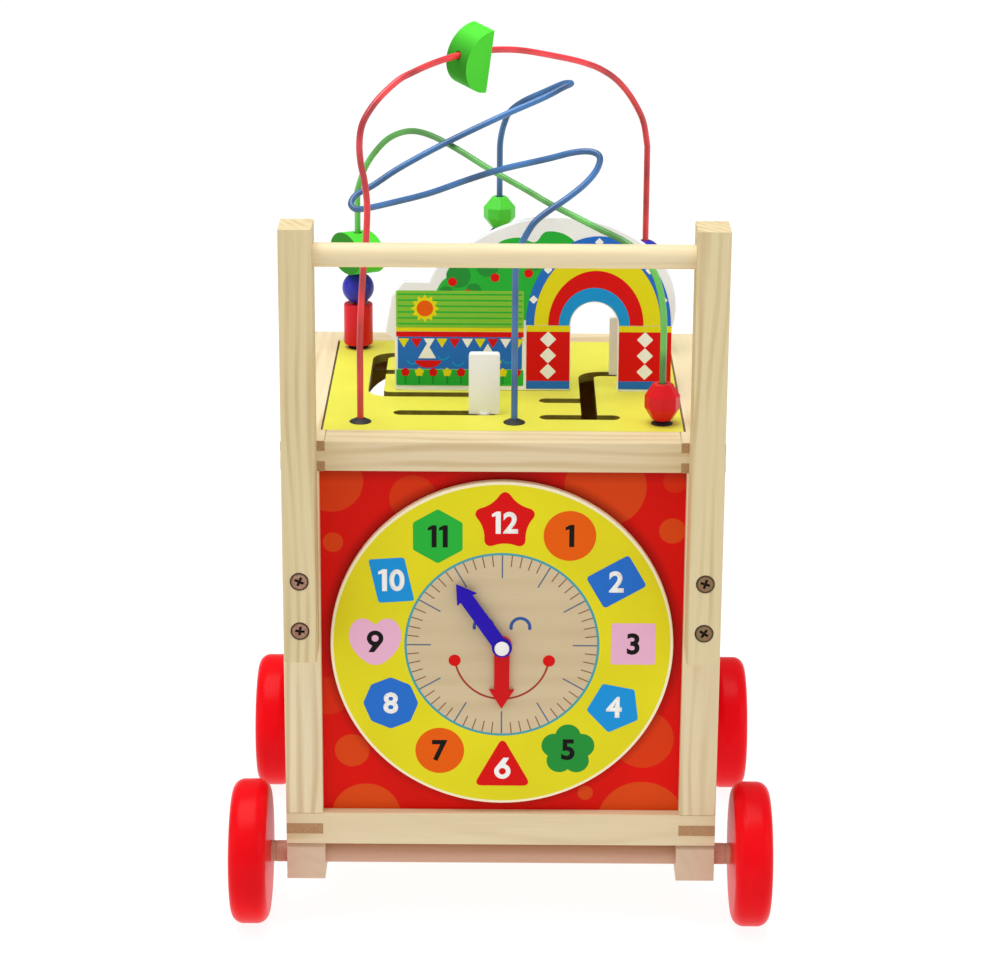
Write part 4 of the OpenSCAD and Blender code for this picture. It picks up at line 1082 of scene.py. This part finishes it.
class WALKER_OT_scenery(bpy.types.Operator):
    """White scenery board, printed on both faces"""
    bl_idname = "walker.scenery"
    bl_label = "Scenery"

    def execute(self, context):
        low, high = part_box("scenery_board")
        top = board_top()
        bm = merged_copy("scenery_board")
        rims = [e for e in sharp_edges(bm, 60) if any(abs(f.normal.y) > 0.99 for f in e.link_faces)
                and min(v.co.z for v in e.verts) > top - 0.01 * MM]
        bevel(bm, rims, sizes().paint_ease)
        piece("scenery_board_white", bm, finish_of("white_lacquer", enamel, "figure_white", 0.2),
              "scenery_board", smooth=35, weighted=True)
        for side, plane, face in (("front", FRONT_PRINT, low.y), ("back", BACK_PRINT, high.y)):
            inks = print_set(plane, face, UP * top, "leaf green red lime yellow orange blue sky white")
            draw_scenery(inks)
            lay_prints(inks, f"scenery_{side}")
        return {"FINISHED"}


class WALKER_OT_figures(bpy.types.Operator):
    """Two sliding figures with their round keepers"""
    bl_idname = "walker.figures"
    bl_label = "Figures"

    def execute(self, context):
        top, mark_height, ease = board_top(), 24 * MM, 0.6 * MM
        marks = (("left", "red", heart(0.36)), ("right", "orange", polygon(5, 7.0, 90, 0.8, 0.55)))
        for side, name, shape in marks:
            node, body = f"figure_{side}", f"{side}_figure"
            bm = merged_copy(node)
            rims = [e for e in sharp_edges(bm, 60) if min(v.co.z for v in e.verts) > top]
            bevel(bm, rims, sizes().paint_ease)
            back = max(v.co.y for v in bm.verts if v.co.z > top + MM)
            piece(f"{node}_lacquered", bm, finish_of("white_lacquer", enamel, "figure_white", 0.2),
                  node, body, 35, True)
            inks = print_set(BACK_PRINT, back, Vector((middle(node).x, 0.0, top + mark_height)), name)
            inks[name].stamp(shape)
            lay_prints(inks, f"{node}_print", body)
            node = f"figure_{side}_keeper"
            centre, radius, thick = measures(node, 2)
            section = ([(0.0, 0.0)] + arc(radius - ease, ease, ease, -90, 0, 4)
                       + arc(radius - ease, thick - ease, ease, 0, 90, 4) + [(0.0, thick)])
            piece(f"{node}_ply", turned(section, 40, centre, UP),
                  finish_of("birch_plywood_keeper", plywood, "X"), node, body, 35)
        return {"FINISHED"}


# Wire ends and bends in millimetres: ends as (x, distance from the front), bends in each wire's
# upright plane as (distance from the nearer end, height), the blue one as (x, share of depth, height)
RED_ENDS, BLUE_ENDS = ((-91.5, 42.5), (97, 223)), ((7, 42.5), (-3.5, 223))
GREEN_ENDS = ((101.5, 42.5), (-101, 223))
ARCH_RADIUS, ARCH_MIDDLE, ARCH_TOP = 220, 100, 226.5
RED_RISE = ((1, 70), (3, 95), (6, 120), (7, 140), (5, 156), (2, 168), (1, 180), (3, 191), (9, 199.5),
            (19, 208))
RED_ARCH = tuple((s, ARCH_TOP - ARCH_RADIUS + math.sqrt(ARCH_RADIUS ** 2 - (s - ARCH_MIDDLE) ** 2))
                 for s in range(34, 155, 12))
RED_FALL = ((91, 215.8), (75, 211.6), (61, 207.3), (47, 201.8), (33, 193.8), (21, 183.5), (11, 171.5),
            (4, 159.5))
GREEN_RISE = ((1, 76), (4, 88), (9, 98), (18, 107), (34, 114), (56, 119), (77, 124), (98, 129), (118, 135))
GREEN_FALL = ((121, 144), (93, 153), (68, 159), (49, 159), (31, 152), (17, 140), (7, 127))
BLUE_ROUTE = (
    (9, 0, 112), (15, 0.01, 125), (22, 0.03, 133), (40, 0.08, 144), (51, 0.11, 152), (58, 0.13, 160),
    (60, 0.152, 167), (55, 0.169, 170), (44, 0.186, 169), (26, 0.224, 163), (-2, 0.285, 154),
    (-24, 0.335, 145), (-49, 0.385, 134), (-75, 0.44, 125), (-91, 0.474, 120), (-98, 0.49, 119),
    (-101, 0.512, 122), (-97, 0.54, 127), (-87, 0.557, 132), (-69, 0.59, 143), (-40, 0.651, 157),
    (-4, 0.729, 172), (25, 0.789, 183), (38, 0.817, 189), (44, 0.845, 191), (39, 0.873, 190),
    (27, 0.895, 184), (12, 0.922, 176), (3, 0.945, 168), (-1, 0.967, 158), (-3, 0.989, 148))


class WALKER_OT_wires(bpy.types.Operator):
    """Three powder-coated bead wires and their rubber grommets"""
    bl_idname = "walker.wires"
    bl_label = "Wires"

    def execute(self, context):
        self.wire("red", RED_ENDS, (47, 143), self.upright(RED_ENDS, RED_RISE + RED_ARCH, RED_FALL))
        self.wire("green", GREEN_ENDS, (65, 111), self.upright(GREEN_ENDS, GREEN_RISE, GREEN_FALL))
        near, far = (end[1] for end in BLUE_ENDS)
        self.wire("blue", BLUE_ENDS, (97, 141),
                  [Vector((x, near + share * (far - near), z)) for x, share, z in BLUE_ROUTE])
        low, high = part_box("wire_grommets")
        inner, outer, tall = sizes().wire_coat / 2, GROMMET_RADIUS, high.z - low.z
        ring = [(inner, 0.0), (outer, 0.0), (outer, 0.35 * MM), (outer - 0.5 * MM, 0.8 * MM),
                (outer - 2.2 * MM, 1.5 * MM), (inner + 1.5 * MM, tall - 0.3 * MM), (inner + 1.0 * MM, tall),
                (inner, tall)]
        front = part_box("top_rail_front")[0].y
        bm = bmesh.new()
        for x, back in RED_ENDS + BLUE_ENDS + GREEN_ENDS:
            centre = Vector((x * MM, front + back * MM, low.z))
            pour(turned(ring, 40, centre, UP, ring=True), bm)
        piece("wire_grommets_rubber", bm, finish_of("moulded_rubber", moulded_rubber),
              "wire_grommets", smooth=30)
        return {"FINISHED"}

    def upright(self, ends, rise, fall):
        """The bends of a wire that stays in the upright plane through its ends."""
        near, far = (Vector((*end, 0.0)) for end in ends)
        along = (far - near).normalized()
        return [near + along * d + UP * z for d, z in rise] + [far - along * d + UP * z for d, z in fall]

    def wire(self, name, ends, leg_tops, bends):
        """A round rod along a smooth run, with straight legs into the board."""
        feet = [Vector((*end, 0.0)) for end in ends]
        run = smooth_path([feet[0] + UP * leg_tops[0]] + bends + [feet[1] + UP * leg_tops[1]])
        root = UP * 6
        run = [feet[0] - root] + run + [feet[1] - root]
        origin = Vector((0.0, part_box("top_rail_front")[0].y, board_top()))
        curve = bpy.data.curves.new(name, "CURVE")
        curve.dimensions = "3D"
        curve.bevel_depth = sizes().wire_coat / 2
        curve.bevel_resolution = 4
        curve.use_fill_caps = True
        spline = curve.splines.new("POLY")
        spline.points.add(len(run) - 1)
        for point, at in zip(spline.points, run):
            point.co = (*(at * MM + origin), 1.0)
        bm = drawn(curve)
        bmesh.ops.recalc_face_normals(bm, faces=bm.faces)
        piece(f"{name}_wire_coated", bm, finish_of(f"wire_{name}_powder_coat", powder_coat, f"wire_{name}"),
              f"{name}_wire", smooth=40)


# Each bead: node, body, shape, colour
BEADS = (
    ("bead_front_right", "front_right_bead", "facet", "red"),
    ("bead_red_arch", "red_arch_bead", "cut", "green"),
    ("bead_left_1", "left_bead_1", "cylinder", "red"), ("bead_left_2", "left_bead_2", "ball", "blue"),
    ("bead_left_3", "left_bead_3", "cut", "green"), ("bead_middle_1", "middle_bead_1", "cylinder", "red"),
    ("bead_middle_2", "middle_bead_2", "cylinder", "yellow"),
    ("bead_middle_3", "middle_bead_3", "facet", "blue"),
    ("bead_middle_4", "middle_bead_4", "facet", "green"), ("bead_right_1", "right_bead_1", "facet", "green"),
    ("bead_right_2", "right_bead_2", "cylinder", "yellow"), ("bead_right_3", "right_bead_3", "ball", "blue"))


class WALKER_OT_beads(bpy.types.Operator):
    """Lacquered wooden beads"""
    bl_idname = "walker.beads"
    bl_label = "Beads"

    def execute(self, context):
        for node, body, shape, name in BEADS:
            # The sawn beads take painted shade on their left-facing sides
            hung = shape == "cut"
            finish = f"bead_{name}_hung_enamel" if hung else f"bead_{name}_enamel"
            gloss = 0.01 if hung else 0.2
            piece(f"{node}_lacquered", getattr(self, shape)(node),
                  finish_of(finish, enamel, f"bead_{name}", gloss, hung), node, body,
                  None if shape == "facet" else 40, hung)
        return {"FINISHED"}

    def cut(self, node):
        """A bead sawn from a board: its outline comes from the frame, its edges are sanded round."""
        bm = merged_copy(node)
        bevel(bm, sharp_edges(bm, 42), sizes().bead_ease)
        return bm

    def cylinder(self, node):
        foot, radius, tall = measures(node, 2)
        return turned(rounded_ring(BEAD_BORE, radius, tall, sizes().bead_ease), 64, foot, UP, ring=True)

    def ball(self, node):
        foot, radius, tall = measures(node, 2)
        slope = math.degrees(math.asin(tall / 2 / radius))
        return turned(arc(0.0, tall / 2, radius, -slope, slope, 24), 64, foot, UP, ring=True)

    def facet(self, node):
        """Eight-sided bead whose facets meet in softly eased edges."""
        foot, radius, tall = measures(node, 2)
        end = max((v.co - foot).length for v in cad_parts[node].data.vertices
                  if v.co.z < foot.z + 0.01 * MM)
        section = [(BEAD_BORE, 0.0), (end, 0.0), (radius, tall / 3), (radius, 2 * tall / 3), (end, tall),
                   (BEAD_BORE, tall)]
        bm = turned(section, 8, foot, UP, ring=True)
        bevel(bm, sharp_edges(bm, 20), sizes().facet_ease, 2)
        return bm


# Each lamp: name, place, size, watts
LAMPS = (("key_softbox", (-0.35, -0.2, 2.8), 2.0, 62), ("left_softbox", (-2.2, -0.8, 0.9), 1.2, 5),
         ("right_softbox", (2.2, -0.8, 0.9), 1.2, 7))
LAMPS_AIM = Vector((0.0, 0.0, 0.25))
ROOM_LIGHT, ROOM_MIRRORED = 0.56, 0.3
FLOOR_REACH = 60.0
# The camera looks along the walker, a little down, with hardly any yaw and roll
CAMERA_AT, SENSOR_WIDTH, LENS = (0.0, -1.98286, 0.90403), 36, 111.367
YAW, PITCH, ROLL = -0.001, math.radians(17.77), -0.006


class WALKER_OT_stage(bpy.types.Operator):
    """Pale floor, soft studio light and the camera"""
    bl_idname = "walker.stage"
    bl_label = "Stage"

    def execute(self, context):
        scene = context.scene
        bm = bmesh.new()
        bmesh.ops.create_grid(bm, x_segments=1, y_segments=1, size=FLOOR_REACH)
        floor = placed("floor", mesh_of("floor", bm))
        floor.data.materials.append(finish_of("opal_acrylic", opal_acrylic))
        scene.world = self.studio()
        for name, at, size, watts in LAMPS:
            lamp = bpy.data.lights.new(name, "AREA")
            lamp.size = size
            lamp.energy = watts
            made = placed(name, lamp)
            made.location = at
            made.rotation_euler = (LAMPS_AIM - Vector(at)).to_track_quat("-Z", "Y").to_euler()
        scene.camera = self.viewer()
        scene.view_settings.view_transform = "Standard"
        return {"FINISHED"}

    def studio(self):
        """A white room that lights everything evenly but is dimmed in reflections, as black flags would."""
        world = bpy.data.worlds.new("studio")
        world.use_nodes = True
        tree = world.node_tree
        tree.nodes.clear()
        mirrored = add(tree, "LightPath", out="Is Glossy Ray")
        strength = add(tree, "MapRange", {0: mirrored, 3: ROOM_LIGHT, 4: ROOM_MIRRORED})
        room = add(tree, "Background", {"Color": (1.0, 1.0, 1.0, 1.0), "Strength": strength})
        add(tree, "OutputWorld", {"Surface": room})
        return world

    def viewer(self):
        camera = bpy.data.cameras.new("camera")
        camera.sensor_width = SENSOR_WIDTH
        camera.lens = LENS
        forward = Vector((math.sin(YAW) * math.cos(PITCH), math.cos(YAW) * math.cos(PITCH), -math.sin(PITCH)))
        level = Vector((math.cos(YAW), -math.sin(YAW), 0.0))
        down = forward.cross(level)
        right = level * math.cos(ROLL) + down * math.sin(ROLL)
        lower = down * math.cos(ROLL) - level * math.sin(ROLL)
        turn = Matrix((right, -lower, -forward)).transposed()
        viewer = placed("camera", camera)
        viewer.matrix_world = Matrix.Translation(CAMERA_AT) @ turn.to_4x4()
        return viewer


OPERATORS = (WALKER_OT_frame, WALKER_OT_panels, WALKER_OT_wheels, WALKER_OT_handle, WALKER_OT_clock,
             WALKER_OT_numbers, WALKER_OT_hands, WALKER_OT_top_board, WALKER_OT_scenery, WALKER_OT_figures,
             WALKER_OT_wires, WALKER_OT_beads, WALKER_OT_stage)


class WALKER_PT_panel(bpy.types.Panel):
    """Sizes, colours and building steps of the walker"""
    bl_label = "Walker"
    bl_idname = "WALKER_PT_panel"
    bl_space_type = "VIEW_3D"
    bl_region_type = "UI"
    bl_category = "Walker"

    def draw(self, context):
        column = self.layout.column(align=True)
        for operator in OPERATORS:
            column.operator(operator.bl_idname)
        for group in (context.scene.walker_sizes, context.scene.walker_colours):
            column.separator()
            for name in group.__annotations__:
                column.prop(group, name)


CLASSES = (WalkerSizes, WalkerColours, *OPERATORS, WALKER_PT_panel)


def register():
    for cls in CLASSES:
        bpy.utils.register_class(cls)
    bpy.types.Scene.walker_sizes = bpy.props.PointerProperty(type=WalkerSizes)
    bpy.types.Scene.walker_colours = bpy.props.PointerProperty(type=WalkerColours)


def unregister():
    del bpy.types.Scene.walker_colours
    del bpy.types.Scene.walker_sizes
    for cls in reversed(CLASSES):
        bpy.utils.unregister_class(cls)


def main():
    register()
    for operator in OPERATORS:
        group, name = operator.bl_idname.split(".")
        getattr(getattr(bpy.ops, group), name)()
    bpy.context.view_layer.update()


if __name__ == "__main__":
    main()
